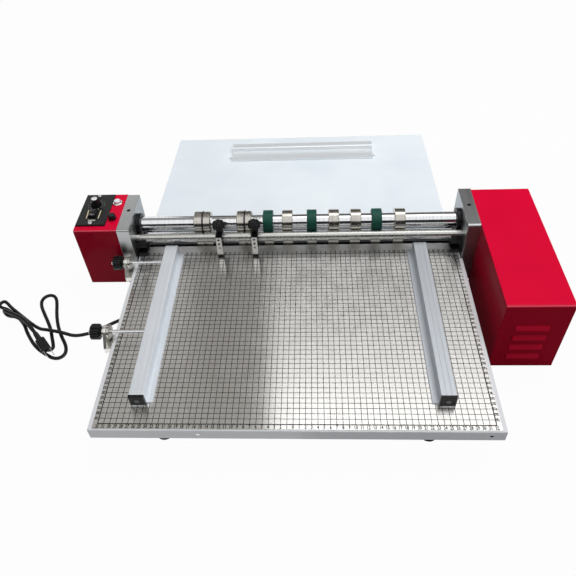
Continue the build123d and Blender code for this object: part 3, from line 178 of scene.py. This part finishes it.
# ---------------------------------------------------------------- materials
class Look:
    """Builds one procedural material. Object coordinates are the model's own frame, in metres."""

    def __init__(self, name):
        self.mat = bpy.data.materials.new(name)
        self.mat.use_nodes = True
        self.tree = self.mat.node_tree
        self.shader = next(n for n in self.tree.nodes if n.type == "BSDF_PRINCIPLED")
        self.place = self.tree.nodes.new("ShaderNodeTexCoord").outputs["Object"]

    def put(self, socket, value):
        if isinstance(value, bpy.types.NodeSocket):
            self.tree.links.new(value, socket)
        elif isinstance(value, (tuple, list)) and len(value) == 3 and socket.type == "RGBA":
            socket.default_value = (*value, 1)
        else:
            socket.default_value = value

    def node(self, kind, out=0, settings=None, **inputs):
        made = self.tree.nodes.new(kind)
        for key, value in (settings or {}).items():
            setattr(made, key, value)
        for key, value in inputs.items():
            self.put(made.inputs[key], value)
        return made.outputs[out]

    def parts(self, vector):
        """The X, Y and Z parts of a vector."""
        split = self.tree.nodes.new("ShaderNodeSeparateXYZ")
        self.put(split.inputs[0], vector)
        return split.outputs

    def math(self, operation, a, b=0.5, c=0.5):
        made = self.tree.nodes.new("ShaderNodeMath")
        made.operation = operation
        for socket, value in zip(made.inputs, (a, b, c)):
            self.put(socket, value)
        return made.outputs[0]

    def stretched(self, x, y, z):
        """The place, scaled along each axis, so that a pattern runs along the axis of least scale."""
        return self.node("ShaderNodeMapping", Vector=self.place, Scale=(x, y, z))

    def noise(self, scale, detail=3.0, rough=0.5, stretch=None, blur=0.0):
        place = self.stretched(*stretch) if stretch else self.place
        return self.node("ShaderNodeTexNoise", Vector=place, Scale=scale, Detail=detail,
                         Roughness=rough, Distortion=blur)

    def spread(self, value, low, high, to_low, to_high):
        """Maps a value from one range to another and clamps it."""
        made = self.tree.nodes.new("ShaderNodeMapRange")
        for socket, v in zip(made.inputs, (value, low, high, to_low, to_high)):
            self.put(socket, v)
        return made.outputs[0]

    def mix(self, share, a, b):
        made = self.tree.nodes.new("ShaderNodeMix")
        made.data_type = "RGBA"
        self.put(made.inputs[0], share)
        self.put(made.inputs[6], a)
        self.put(made.inputs[7], b)
        return made.outputs[2]

    def rounded(self, radius):
        """The surface's normal, with sharp edges rounded by a radius in millimetres."""
        return self.node("ShaderNodeBevel", settings={"samples": 6}, Radius=radius / 1000)

    def edges(self, radius):
        """1 on the model's sharp edges and 0 elsewhere."""
        smooth = self.rounded(radius)
        sharp = self.tree.nodes.new("ShaderNodeNewGeometry").outputs["Normal"]
        made = self.tree.nodes.new("ShaderNodeVectorMath")
        made.operation = "DOT_PRODUCT"
        self.put(made.inputs[0], smooth)
        self.put(made.inputs[1], sharp)
        return self.spread(made.outputs["Value"], 0.995, 0.80, 0.0, 1.0)

    def bump(self, height, strength, distance, normal=None):
        made = self.tree.nodes.new("ShaderNodeBump")
        self.put(made.inputs["Height"], height)
        made.inputs["Strength"].default_value = strength
        made.inputs["Distance"].default_value = distance / 1000
        if normal is not None:
            self.put(made.inputs["Normal"], normal)
        return made.outputs[0]

    def mottled(self, pattern, colour, dark, light, low=0.3):
        """The colour, darkened and lightened by a pattern."""
        return self.mix(self.spread(pattern, low, 0.7, 0.0, 1.0), tint(colour, dark), tint(colour, light))

    def rubbed(self, base, radius, share, colour):
        """The base with part of another colour on its sharp edges: worn paint where scuffs lead it, and a
        painted highlight on metal and moulded parts.
        """
        return self.mix(self.math("MULTIPLY", self.edges(radius), share), base, colour)

    def done(self, **sockets):
        """Sets the shader's inputs, with _ for each space in their names, and gives the material."""
        for key, value in sockets.items():
            self.put(self.shader.inputs[key.replace("_", " ")], value)
        return self.mat


def tint(colour, k):
    """The colour times k, not above white."""
    return tuple(min(1.0, c * k) for c in colour)


def paint(name, colour, rough, gloss=0.5, coat=0.0, edge=0.6, worn=None, glint=None):
    """Sprayed or powder paint: slight orange peel, faint unevenness and rounded edges. With glint, bends
    that face up and forward take that colour and upright faces are darker. That is the photograph's
    light, painted on, so it doesn't follow the lamps."""
    look = Look(name)
    patches = look.noise(7.0, 2.0, 0.55)
    base = look.mottled(patches, colour, 0.95, 1.03)
    dust = look.noise(420.0, 3.0, 0.6)
    base = look.mix(look.spread(dust, 0.62, 0.8, 0.0, 0.14), base, tint(colour, 1.5))
    if worn:
        scuffs = look.spread(look.noise(60.0, 4.0), 0.42, 0.62, 0, 0.75)
        base = look.rubbed(base, 0.7, scuffs, worn)
    if glint:
        _, y, up = look.parts(look.rounded(1.6))
        base = look.mix(look.spread(up, 0.2, 0.45, 0.46, 0.0), base, (0, 0, 0))
        slope = look.math("MULTIPLY", y, up)       # -0.5 for a face halfway between up and forward
        hoods = look.spread(slope, -0.30, -0.38, 0.0, 0.06)
        bends = look.spread(slope, -0.42, -0.49, 0.0, 0.7)
        base = look.mix(look.math("ADD", hoods, bends), base, glint)
    normal = look.bump(look.noise(1500.0, 2.0, 0.5), 0.5, 0.02, look.rounded(edge))
    return look.done(Base_Color=base, Normal=normal, Specular_IOR_Level=gloss,
                     Roughness=look.spread(patches, 0.25, 0.75, rough - 0.05, rough + 0.06),
                     Coat_Weight=coat, Coat_Roughness=0.14)


BRUSH_LINES = 2600.0


def brushed(name, colour, rough, along, metallic=1.0, edge=0.5):
    """Metal with fine lines along one axis: 'x', 'y' or 'z'."""
    look = Look(name)
    stretch = {"x": (0.02, 1, 1), "y": (1, 0.02, 1), "z": (1, 1, 0.02)}[along]
    grain = look.noise(BRUSH_LINES, 2.0, 0.6, stretch)
    streak = look.noise(BRUSH_LINES / 9, 3.0, 0.6, stretch)
    cloud = look.noise(16.0, 3.0, 0.5)
    base = look.mottled(streak, colour, 0.95, 1.05)
    base = look.mix(look.spread(cloud, 0.35, 0.7, 0.0, 0.5), base, tint(colour, 0.97))
    # lighter sharp edges: a painted highlight
    base = look.rubbed(base, edge, 0.6, tint(colour, 1.12))
    return look.done(Base_Color=base, Metallic=metallic,
                     Roughness=look.spread(streak, 0.25, 0.75, rough - 0.04, rough + 0.06),
                     Normal=look.bump(grain, 0.5, 0.006, look.rounded(edge)))


def turned(name, colour, rough, axes, depth=0.01, pitch=1400.0, oil=None):
    """Lathe-turned metal: fine rings along X, and round the shafts' axes (Y, Z) on the end faces."""
    look = Look(name)
    along, y, z = look.parts(look.place)
    nearest = None
    for axis_y, axis_z in axes:
        middle = row(0, axis_y, axis_z)
        squares = []
        for value, centre in ((y, middle.y), (z, middle.z)):
            away = look.math("SUBTRACT", value, centre)
            squares.append(look.math("MULTIPLY", away, away))
        radius = look.math("SQRT", look.math("ADD", *squares))
        nearest = radius if nearest is None else look.math("MINIMUM", nearest, radius)
    spot = look.node("ShaderNodeCombineXYZ", X=along, Y=nearest)
    rings = look.node("ShaderNodeTexNoise", Vector=spot, Scale=pitch, Detail=2.0, Roughness=0.6)
    wide = look.node("ShaderNodeTexNoise", Vector=spot, Scale=pitch / 8, Detail=2.0, Roughness=0.5)
    base = look.mottled(wide, colour, 0.92, 1.06)
    if oil:
        film = look.spread(look.noise(70.0, 4.0, 0.6), 0.48, 0.72, 0.0, 0.5)
        base = look.mix(film, base, oil)
    # lighter sharp edges: a painted highlight
    base = look.rubbed(base, 0.5, 0.6, tint(colour, 1.15))
    return look.done(Base_Color=base, Metallic=1.0,
                     Roughness=look.spread(wide, 0.25, 0.75, rough - 0.04, rough + 0.07),
                     Normal=look.bump(rings, 0.5, depth, look.rounded(0.5)))


def moulded(name, colour, rough, grain=900.0, depth=0.03, edge=0.5, dusty=0.12, gloss=0.3):
    """Moulded plastic or rubber: fine grain, a little dust and softened edges."""
    look = Look(name)
    fine = look.noise(grain, 3.0, 0.6)
    cloud = look.noise(30.0, 4.0, 0.55)
    pale = tuple(c + 0.10 for c in colour)
    base = look.mottled(cloud, colour, 0.9, 1.15, low=0.35)
    base = look.mix(look.spread(look.noise(240.0, 4.0, 0.65), 0.55, 0.8, 0.0, dusty), base, pale)
    # paler sharp edges: a painted highlight
    base = look.rubbed(base, edge, 0.3, tint(pale, 0.8))
    return look.done(Base_Color=base, Specular_IOR_Level=gloss,
                     Roughness=look.spread(cloud, 0.25, 0.75, rough - 0.06, rough + 0.08),
                     Normal=look.bump(fine, 0.5, depth, look.rounded(edge)))


DULL_FROM, DULL_TO = -13.0, -3.0   # Y between which the sheet turns dull, towards the rear figures


def scale_look():
    """Sheet ground across, with wiping marks: reflections spread along Y and stay sharp along X. It is
    duller, and the same both ways, beside the rear row of figures."""
    look = Look("scale_steel")
    rolled = look.noise(900.0, 2.0, 0.6, (0.02, 1, 1))
    across = look.node("ShaderNodeCombineXYZ", X=0.0, Y=1.0, Z=0.0)
    wipes = look.noise(34.0, 5.0, 0.6, (1.0, 0.6, 1), 1.2)
    waves = look.noise(14.0, 1.0, 0.4)
    _, y, _ = look.parts(look.place)
    dull = look.spread(y, row(0, DULL_FROM, 0).y, row(0, DULL_TO, 0).y, 0.0, 1.0)
    rough = look.math("MULTIPLY_ADD", dull, 0.26, look.spread(wipes, 0.3, 0.7, 0.18, 0.24))
    return look.done(Base_Color=look.mottled(rolled, (0.80, 0.79, 0.77), 0.96, 1.03), Metallic=1.0,
                     Roughness=rough, Anisotropic=look.math("SUBTRACT", 1.0, dull), Tangent=across,
                     Normal=look.bump(waves, 0.25, 0.10, look.bump(rolled, 0.35, 0.004)))


def board_look():
    """Green lacquered board: woven glass under the lacquer."""
    look = Look("board_green")
    weave = look.node("ShaderNodeTexChecker", 1, Vector=look.place, Scale=1400.0)
    base = look.mix(weave, (0.018, 0.17, 0.06), (0.024, 0.20, 0.075))
    return look.done(Base_Color=base, Roughness=0.35, Coat_Weight=0.4, Coat_Roughness=0.1,
                     Normal=look.bump(weave, 0.3, 0.02, look.rounded(0.2)))


AXES = ((48.0, 47.6), (48.0, 5.6), (18.0, 5.6))     # Y and Z of the upper, lower and pinion shafts
ROD_AXIS = (15.0, 37.0)
LOOKS = {
    "red_paint": paint("red_paint", (0.74, 0.0012, 0.036), 0.40, gloss=0.03, coat=0.10, edge=1.0,
                       glint=(0.95, 0.15, 0.22)),
    "table_paint": paint("table_paint", (0.73, 0.74, 0.755), 0.38, edge=0.8, worn=(0.5, 0.5, 0.5)),
    "tray_paint": paint("tray_paint", (0.88, 0.94, 1.0), 0.34, edge=0.8),
    "scale_steel": scale_look(),
    "plate_metal": brushed("plate_metal", (0.50, 0.515, 0.52), 0.32, "y", edge=0.9),
    "guide_metal": brushed("guide_metal", (0.84, 0.88, 0.93), 0.38, "y", metallic=0.55, edge=0.6),
    "bracket_metal": brushed("bracket_metal", (0.80, 0.79, 0.76), 0.30, "z", edge=0.5),
    "black_paint": paint("black_paint", (0.007, 0.007, 0.008), 0.26, gloss=0.3, edge=0.7,
                         worn=(0.12, 0.12, 0.12)),
    "chrome": turned("chrome", (0.80, 0.81, 0.83), 0.08, (*AXES, ROD_AXIS), depth=0.003, pitch=2400.0),
    "ring_steel": turned("ring_steel", (0.56, 0.54, 0.50), 0.17, AXES, oil=(0.45, 0.42, 0.36)),
    "rim_steel": turned("rim_steel", (0.06, 0.06, 0.062), 0.30, AXES),
    "steel": turned("steel", (0.60, 0.60, 0.61), 0.28, AXES),
    "wheel_green": moulded("wheel_green", (0.003, 0.062, 0.042), 0.48, grain=500.0, depth=0.05, edge=0.8,
                           dusty=0.05),
    "black_rubber": moulded("black_rubber", (0.009, 0.009, 0.009), 0.62, grain=700.0, depth=0.08, edge=0.8),
    "black_plastic": moulded("black_plastic", (0.005, 0.005, 0.006), 0.36, edge=0.7, dusty=0.05),
    "gloss_black": moulded("gloss_black", (0.008, 0.008, 0.009), 0.14, depth=0.006, edge=0.7, dusty=0.03),
    "panel_black": moulded("panel_black", (0.010, 0.011, 0.0105), 0.46, grain=1600.0, edge=0.4),
    "board_green": board_look(),
    "motor_grey": paint("motor_grey", (0.16, 0.17, 0.18), 0.34, edge=0.8),
}
# These nodes look unlike the rest of their slot.
OWN_LOOKS = {
    "cross_rod": turned("ground_rod", (0.58, 0.58, 0.56), 0.27, AXES, depth=0.006),
    "pressure_screws": LOOKS["black_paint"],
    # the right guide: the guide metal made darker, as painted shade
    "right_guide": brushed("guide_painted_shade", (0.57, 0.60, 0.64), 0.40, "y", metallic=0.55, edge=0.6),
    "stop_bar": brushed("stop_metal", (0.92, 0.96, 1.0), 0.36, "x", metallic=0.45, edge=0.6),
}

for node in nodes.values():
    for slot in node.material_slots:
        slot.material = LOOKS[slot.material.name.split(".")[0]]
for name, look in OWN_LOOKS.items():
    nodes[name].material_slots[0].material = look
lead.data.materials.append(LOOKS["black_plastic"])


# ---------------------------------------------------------------- helpers for the detail pieces
def piece(name, mesh, body, slot, look=None):
    """A mesh in the model's frame that rides on a body. It has its slot's look or one of its own."""
    made = bpy.data.objects.new(name, mesh)
    scene.collection.objects.link(made)
    mesh.materials.append(look or LOOKS[slot])
    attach(made, body)


class Shape:
    """Collects faces given in the machine's frame, in millimetres, and makes one mesh of them."""

    def __init__(self):
        self.bm = bmesh.new()

    def face(self, points):
        self.bm.faces.new([self.bm.verts.new(row(*p)) for p in points])

    def flat(self, x0, x1, y0, y1, z):
        """A printed rectangle that lies level."""
        self.face([(x0, y0, z), (x1, y0, z), (x1, y1, z), (x0, y1, z)])

    def lathe(self, profile, steps, place):
        """Turns (radius, height) points round the Z axis of the matrix place."""
        loops = []
        for r, h in profile:
            angles = [tau * i / steps for i in range(steps)] if r else [0.0]
            loops.append([self.bm.verts.new(row(*(place @ Vector((r * cos(a), r * sin(a), h)))))
                          for a in angles])
        for a, b in zip(loops, loops[1:]):
            for i in range(steps):
                j = (i + 1) % steps
                corners = [a[i % len(a)], a[j % len(a)], b[j % len(b)], b[i % len(b)]]
                corners = [v for k, v in enumerate(corners) if v not in corners[:k]]
                if len(corners) > 2:
                    self.bm.faces.new(corners)

    def words(self, text, size, place, bold, narrow=1.0):
        """Printed figures, centred on the origin of the matrix place. bold is how far their outline
        grows, in millimetres, and narrow is their width's share."""
        font = bpy.data.curves.new("figures", "FONT")
        font.body = text
        font.size = size
        font.align_x = "CENTER"
        font.align_y = "CENTER"
        font.offset = bold
        font.resolution_u = 2
        holder = bpy.data.objects.new("figures", font)
        mesh = bpy.data.meshes.new_from_object(holder)
        for v in mesh.vertices:
            v.co = row(*(place @ Vector((narrow * v.co.x, v.co.y, v.co.z))))
        self.bm.from_mesh(mesh)
        bpy.data.objects.remove(holder)
        bpy.data.curves.remove(font)
        bpy.data.meshes.remove(mesh)

    def mesh(self, name, smooth=False):
        if smooth:
            bmesh.ops.recalc_face_normals(self.bm, faces=self.bm.faces)
        made = bpy.data.meshes.new(name)
        self.bm.to_mesh(made)
        self.bm.free()
        for p in made.polygons:
            p.use_smooth = smooth
        return made


def at(x, y, z, turn=0.0, axis="Z"):
    """Matrix of a place that is turned about one of its axes, in degrees."""
    return Matrix.Translation((x, y, z)) @ Matrix.Rotation(radians(turn), 4, axis)


# ---------------------------------------------------------------- printed scale
STEP = 10                  # from line to line
COLUMNS = 32               # squares on each side of the middle
ROWS = 40
SCALE_HALF = STEP * COLUMNS
SCALE_DEPTH = STEP * ROWS
PRINT_Z = 0.06             # the ink stands this far above the sheet
LAYER = 0.01               # between lines that cross
LINE_W = 0.95
BORDER_W = 1.7
FIGURE_ROWS = (            # size, Y and boldness of the front and rear rows of figures
    (9.0, -404.9, 0.30),
    (8.0, 4.6, 0.26))
SIDE_SIZE, SIDE_X, SIDE_BOLD = 8.4, 324.3, 0.30
NARROW = 0.68              # the figures' share of the font's own width


def printed_grid():
    """Lines every 10 mm both ways, and a heavier border."""
    ink = Shape()
    for i in range(1 - COLUMNS, COLUMNS):
        ink.flat(STEP * i - LINE_W / 2, STEP * i + LINE_W / 2, -SCALE_DEPTH, 0, PRINT_Z)
    for j in range(1, ROWS):
        ink.flat(-SCALE_HALF, SCALE_HALF, -STEP * j - LINE_W / 2, -STEP * j + LINE_W / 2, PRINT_Z + LAYER)
    half = BORDER_W / 2
    for x in (-SCALE_HALF, SCALE_HALF):
        ink.flat(x - half, x + half, -SCALE_DEPTH, 0, PRINT_Z + 2 * LAYER)
    for y in (-SCALE_DEPTH, 0):
        ink.flat(-SCALE_HALF - half, SCALE_HALF + half, y - half, y + half, PRINT_Z + 3 * LAYER)
    return ink.mesh("printed_grid")


def printed_figures():
    """The figures of the centimetre scale along all four sides."""
    ink = Shape()
    for i in range(-COLUMNS, COLUMNS + 1):
        for size, y, bold in FIGURE_ROWS:
            ink.words(str(abs(i)), size, at(STEP * i, y, PRINT_Z), bold, NARROW)
    for j in range(1, ROWS):
        for side in (-1, 1):
            ink.words(str(j), SIDE_SIZE, at(side * SIDE_X, -STEP * j, PRINT_Z, 90), SIDE_BOLD, NARROW)
    return ink.mesh("printed_figures")


PRINT_DEPTH = 0.004
ink_look = moulded("printing_ink", (0.016, 0.015, 0.014), 0.55, depth=PRINT_DEPTH, dusty=0.05, gloss=0.1)
piece("printed_grid", printed_grid(), "frame", "black_plastic", ink_look)
piece("printed_figures", printed_figures(), "frame", "black_plastic", ink_look)

# ---------------------------------------------------------------- control panel
PANEL_PRINT_Z = 86.05      # just above the panel
PANEL_BOLD = 0.004
LABEL_STRIP = (-422.3, -407.3, 14.2, 17.0)         # X and Y, from and to
GOLD_BARS = (((-429.2, 49.0), (-427.4, 21.6)), ((-402.9, 47.0), (-402.7, 21.2)))   # rear and front ends
KNOB = (-417.2, 64.5)
KNOB_TOP = 103.5
TICK_FROM, TICK_TO, LONG_TICK_TO = 12.6, 14.2, 15.0
DIAL_FIGURES_R = 17.4
POINTER_FROM, POINTER_TO = 6.5, 2.6
KNOB_CAP = ((0, 0.005), (3.9, 0.005), (4.2, 0.03), (5.6, 0.03), (6.1, 0.01), (6.3, -0.3))
ROCKER = (-416.5, 35.0)
ROCKER_PIVOT_Z = 81.5
ROCKER_TILT = -8.0
ROCKER_FACE = 8.56         # from the pivot to the ink on the rocker's face
ON_DISTANCE = 15.4         # from the pivot to the word behind it
print_white = moulded("print_white", (0.62, 0.60, 0.55), 0.40, depth=PRINT_DEPTH, dusty=0.0)
print_gold = moulded("print_gold", (0.72, 0.62, 0.38), 0.34, depth=PRINT_DEPTH, dusty=0.0)


def slanted(shape, start, end, width, z):
    """A printed bar between two places on a level surface."""
    a, b = Vector((*start, z)), Vector((*end, z))
    side = (b - a).cross(Vector((0, 0, 1))).normalized() * width / 2
    shape.face([a - side, a + side, b + side, b - side])


def dial_print():
    """Ticks and figures round the speed knob, ON behind the rocker and a blank strip in front of it."""
    ink = Shape()
    centre = Vector(KNOB)
    for i in range(11):
        angle = radians(240 - 30 * i)
        out = Vector((cos(angle), sin(angle)))
        tick_to = TICK_TO if i % 5 else LONG_TICK_TO
        slanted(ink, centre + TICK_FROM * out, centre + tick_to * out, 0.5, PANEL_PRINT_Z)
        ink.words(str(i), 2.8, at(*(centre + DIAL_FIGURES_R * out), PANEL_PRINT_Z), PANEL_BOLD)
    ink.words("ON", 2.6, at(ROCKER[0], ROCKER[1] + ON_DISTANCE, PANEL_PRINT_Z), PANEL_BOLD)
    ink.flat(*LABEL_STRIP, PANEL_PRINT_Z)
    return ink.mesh("dial_print")


def gold_bars():
    """Two bright bars beside the rocker. The left one's front end leans towards it."""
    ink = Shape()
    for rear, front in GOLD_BARS:
        slanted(ink, rear, front, 2.0, PANEL_PRINT_Z)
    return ink.mesh("gold_bars")


def rocker_marks():
    """The usual line and ring on the two ends of the rocker."""
    ink = Shape()
    key = at(*ROCKER, ROCKER_PIVOT_Z, ROCKER_TILT, "X")
    marks = [[(-0.35, 6.6), (0.35, 6.6), (0.35, 9.6), (-0.35, 9.6)]]
    outer, inner, middle_y, steps = 1.7, 1.15, -8.2, 24
    for i in range(steps):
        a, b = tau * i / steps, tau * (i + 1) / steps
        marks.append([(r * cos(angle), r * sin(angle) + middle_y)
                      for r, angle in ((outer, a), (outer, b), (inner, b), (inner, a))])
    for mark in marks:
        ink.face([key @ Vector((x, y, ROCKER_FACE)) for x, y in mark])
    return ink.mesh("rocker_marks")


def disc(name, profile, steps, place):
    """A turned detail, from (radius, height) points."""
    shape = Shape()
    shape.lathe(profile, steps, place)
    return shape.mesh(name, smooth=True)


def knob_pointer():
    """White line from the knob's edge towards its middle."""
    ink = Shape()
    x, y = KNOB
    slanted(ink, (x, y + POINTER_FROM), (x, y + POINTER_TO), 0.9, KNOB_TOP + 0.05)
    return ink.mesh("knob_pointer")


piece("dial_print", dial_print(), "frame", "tray_paint", print_white)
piece("gold_bars", gold_bars(), "frame", "bracket_metal", print_gold)
piece("rocker_marks", rocker_marks(), "rocker", "tray_paint", print_white)
piece("knob_cap", disc("knob_cap", KNOB_CAP, 48, at(*KNOB, KNOB_TOP)), "speed_knob", "chrome")
piece("knob_pointer", knob_pointer(), "speed_knob", "tray_paint", print_white)

# ---------------------------------------------------------------- screws, knobs and caps
EDGE_HEAD_Y = -413.6
SCREW_HEADS = (            # top of each head, the axis and degrees of its turn, and its cross's size
    ((-417.0, 94.5, 88.5), "Z", 0, 4.0),
    ((-414.5, 5.0, 90.0), "Z", 0, 4.5),
    ((-154.0, EDGE_HEAD_Y, -10.0), "X", 90, 2.0),
    ((312.0, EDGE_HEAD_Y, -10.0), "X", 90, 2.0))
FINGER_KNOB = {"left": -157.0, "right": -84.5}      # X of the middles
FINGER_KNOB_Y, FINGER_KNOB_TOP = 15.0, 74.5
KNOB_FACE = ((0, 0.25), (2.9, 0.25), (3.3, 0.9), (4.6, 0.9), (5.3, 0.3), (5.6, -0.2))
GUIDE_CAPS = (("left", -259.0, "left_guide"), ("right", 249.5, "frame"))
GUIDE_CAP_Y, GUIDE_CAP_Z = -366.0, 12.6
CAP_MARK = ((0, 0.10), (2.7, 0.10), (3.0, 0.55), (3.8, 0.55), (4.2, 0.0))
SLOT_LIFT = 0.04


def screw_slots():
    """Cross recesses in the pan heads that show, as flat black crosses: painted shade in the hollows."""
    dark_crosses = Shape()
    for place, axis, turn, size in SCREW_HEADS:
        head = at(*place, turn, axis)
        for spin in (35, 125):
            arm = head @ Matrix.Rotation(radians(spin), 4, "Z")
            half, thick = 0.52 * size, 0.13 * size
            corners = ((-half, -thick), (half, -thick), (half, thick), (-half, thick))
            dark_crosses.face([arm @ Vector((x, y, SLOT_LIFT)) for x, y in corners])
    return dark_crosses.mesh("screw_slots")


def cap_foot(name, x):
    """Pale edge of the guide's floor, which shows under its front cap."""
    foot = Shape()
    x0, x1, y, z0, z1 = x - 12, x + 12, GUIDE_CAP_Y - 0.3, 0.5, 2.1
    foot.face([(x0, y, z0), (x1, y, z0), (x1, y, z1), (x0, y, z1)])
    return foot.mesh(name)


piece("screw_slots", screw_slots(), "frame", "black_plastic")
for side, x in FINGER_KNOB.items():
    name = side + "_knob_hub"
    face = disc(name, KNOB_FACE, 40, at(x, FINGER_KNOB_Y, FINGER_KNOB_TOP))
    piece(name, face, side + "_finger_knob", "black_plastic")
# the cap's raised ring in grey: a painted highlight on the black cap
ring_highlight_grey = moulded("ring_highlight_grey", (0.16, 0.16, 0.165), 0.35, depth=0.02, edge=0.3)
for side, x, body in GUIDE_CAPS:
    name = side + "_cap_ring"
    mark = disc(name, CAP_MARK, 40, at(x, GUIDE_CAP_Y, GUIDE_CAP_Z, 90, "X"))
    piece(name, mark, body, "black_plastic", ring_highlight_grey)
    piece(side + "_cap_foot", cap_foot(side + "_cap_foot", x), body, "guide_metal")


# ---------------------------------------------------------------- floor, light and background
def shown_or_lit(tree, lit, shown, share, output):
    """Ends a node tree with two shaders: lit, and in its place a share of shown for camera, glossy and
    transmission rays."""
    ray = tree.nodes.new("ShaderNodeLightPath")
    seen = ray.outputs["Is Camera Ray"]
    for operation, other in (("MAXIMUM", ray.outputs["Is Glossy Ray"]),
                             ("MAXIMUM", ray.outputs["Is Transmission Ray"]), ("MULTIPLY", share)):
        step = tree.nodes.new("ShaderNodeMath")
        step.operation = operation
        tree.links.new(seen, step.inputs[0])
        if isinstance(other, float):
            step.inputs[1].default_value = other
        else:
            tree.links.new(other, step.inputs[1])
        seen = step.outputs[0]
    blend = tree.nodes.new("ShaderNodeMixShader")
    for source, socket in zip((seen, lit.outputs[0], shown.outputs[0]), blend.inputs):
        tree.links.new(source, socket)
    tree.links.new(blend.outputs[0], tree.nodes.new(output).inputs["Surface"])


def shader(tree, kind, colour, strength=None):
    """A shader node of one colour."""
    made = tree.nodes.new(kind)
    made.inputs["Color"].default_value = (*colour, 1)
    if strength is not None:
        made.inputs["Strength"].default_value = strength
    return made


def floor_look():
    """Pale floor that shows white to the camera and in reflections, and keeps the object's shadow."""
    mat = bpy.data.materials.new("floor")
    mat.use_nodes = True
    tree = mat.node_tree
    tree.nodes.clear()
    matt = shader(tree, "ShaderNodeBsdfDiffuse", (0.55, 0.55, 0.55))
    glow = shader(tree, "ShaderNodeEmission", (1, 1, 1), 1.0)
    shown_or_lit(tree, matt, glow, 0.97, "ShaderNodeOutputMaterial")
    return mat


def world_look():
    """White to the camera and in reflections, and a weak fill for the matt surfaces."""
    world = bpy.data.worlds.new("studio")
    scene.world = world
    world.use_nodes = True
    tree = world.node_tree
    tree.nodes.clear()
    fill = shader(tree, "ShaderNodeBackground", (0.93, 0.96, 1.0), 0.28)
    white = shader(tree, "ShaderNodeBackground", (1, 1, 1), 1.0)
    shown_or_lit(tree, fill, white, 1.0, "ShaderNodeOutputWorld")


floor_shape = bmesh.new()
bmesh.ops.create_grid(floor_shape, x_segments=2, y_segments=2, size=15)
floor_mesh = bpy.data.meshes.new("floor")
floor_shape.to_mesh(floor_mesh)
floor_shape.free()
floor_mesh.materials.append(floor_look())
floor = bpy.data.objects.new("floor", floor_mesh)
scene.collection.objects.link(floor)
world_look()


def lamp(name, place, aim, width, height, power):
    """A soft rectangular lamp, aimed at a point, that shiny surfaces don't mirror."""
    light = bpy.data.lights.new(name, "AREA")
    light.shape = "RECTANGLE"
    light.size, light.size_y = width, height
    light.energy = power
    made = bpy.data.objects.new(name, light)
    made.visible_glossy = False
    scene.collection.objects.link(made)
    place, aim = Vector(place), Vector(aim)
    turn = (aim - place).to_track_quat("-Z", "Y").to_matrix().to_4x4()
    made.matrix_world = Matrix.Translation(place) @ turn
    return made


lamp("overhead", (0.6, 0.55, 2.3), (0, 0, 0), 2.8, 2.0, 50)
front_fill = lamp("front_fill", (-0.6, -2.6, 1.6), (0, 0, 0.1), 2.0, 1.4, 8)
flagged = bpy.data.collections.new("flagged")      # the covers, which the front lamp doesn't light
for name in ("left_cover", "right_cover"):
    flagged.objects.link(nodes[name])
front_fill.light_linking.receiver_collection = flagged
for kept in flagged.collection_objects:
    kept.light_linking.link_state = "EXCLUDE"


def card(name, corners, colour):
    """A wall of the studio that only the shiny surfaces see. Corners in metres."""
    shape = bmesh.new()
    shape.faces.new([shape.verts.new(c) for c in corners])
    mesh = bpy.data.meshes.new(name)
    shape.to_mesh(mesh)
    shape.free()
    mat = bpy.data.materials.new(name)
    mat.use_nodes = True
    tree = mat.node_tree
    tree.nodes.clear()
    glow = shader(tree, "ShaderNodeEmission", colour)
    tree.links.new(glow.outputs[0], tree.nodes.new("ShaderNodeOutputMaterial").inputs["Surface"])
    mesh.materials.append(mat)
    made = bpy.data.objects.new(name, mesh)
    made.visible_camera = made.visible_diffuse = made.visible_shadow = made.visible_transmission = False
    scene.collection.objects.link(made)


def wall(name, x0, x1, y, z0, z1, colour):
    """A card that stands across the studio."""
    card(name, ((x0, y, z0), (x1, y, z0), (x1, y, z1), (x0, y, z1)), colour)


# Walls and roof of the studio, in metres. The bright ceiling panel's left end runs from X = EDGE_FRONT
# at Y = ROOF_Y to X = EDGE_BACK at the back wall.
BACK_Y, FRONT_Y = 2.5, -3.2
SIDE, SIDE_WALL_X = 7.0, 4.0
WALL_Z, FRONT_WALL_Z, SIDE_WALL_Z = 2.31, 2.1, 3.2
LOW_WALL_X, LOW_WALL_Z = -0.9, 0.3
ROOF_Y, ROOF_Z = 0.3, 4.75
EDGE_BACK, EDGE_FRONT = -0.49, -0.384
DARK_FLOORS = (            # X and Y, from and to
    (0.0, SIDE, FRONT_Y, -0.05),
    (-0.40, SIDE, -0.05, 0.55))
FLOOR_CARD_Z = 0.0005
wall("back_wall", -SIDE, SIDE, BACK_Y, WALL_Z, ROOF_Z, (0.31, 0.30, 0.285))
wall("low_wall", LOW_WALL_X, SIDE, BACK_Y, LOW_WALL_Z, WALL_Z, (0.105, 0.104, 0.102))
card("left_roof", ((-SIDE, ROOF_Y, ROOF_Z), (EDGE_FRONT, ROOF_Y, ROOF_Z), (EDGE_BACK, BACK_Y, ROOF_Z),
                   (-SIDE, BACK_Y, ROOF_Z)), (0.34, 0.33, 0.31))
card("bright_panel", ((EDGE_FRONT, ROOF_Y, ROOF_Z), (SIDE, ROOF_Y, ROOF_Z), (SIDE, BACK_Y, ROOF_Z),
                      (EDGE_BACK, BACK_Y, ROOF_Z)), (2.5, 2.5, 2.5))
wall("front_wall", -SIDE, SIDE, FRONT_Y, 0, FRONT_WALL_Z, (0.03, 0.03, 0.03))
for x0, x1, y0, y1 in DARK_FLOORS:
    corners = ((x0, y0), (x1, y0), (x1, y1), (x0, y1))
    card("dark_floor", [(*corner, FLOOR_CARD_Z) for corner in corners], (0.05, 0.05, 0.05))
for x, shade in ((-SIDE_WALL_X, 0.14), (SIDE_WALL_X, 0.30)):
    corners = ((FRONT_Y, 0), (BACK_Y, 0), (BACK_Y, SIDE_WALL_Z), (FRONT_Y, SIDE_WALL_Z))
    card("side_wall", [(x, *corner) for corner in corners], (shade,) * 3)

scene.view_settings.view_transform = "Standard"
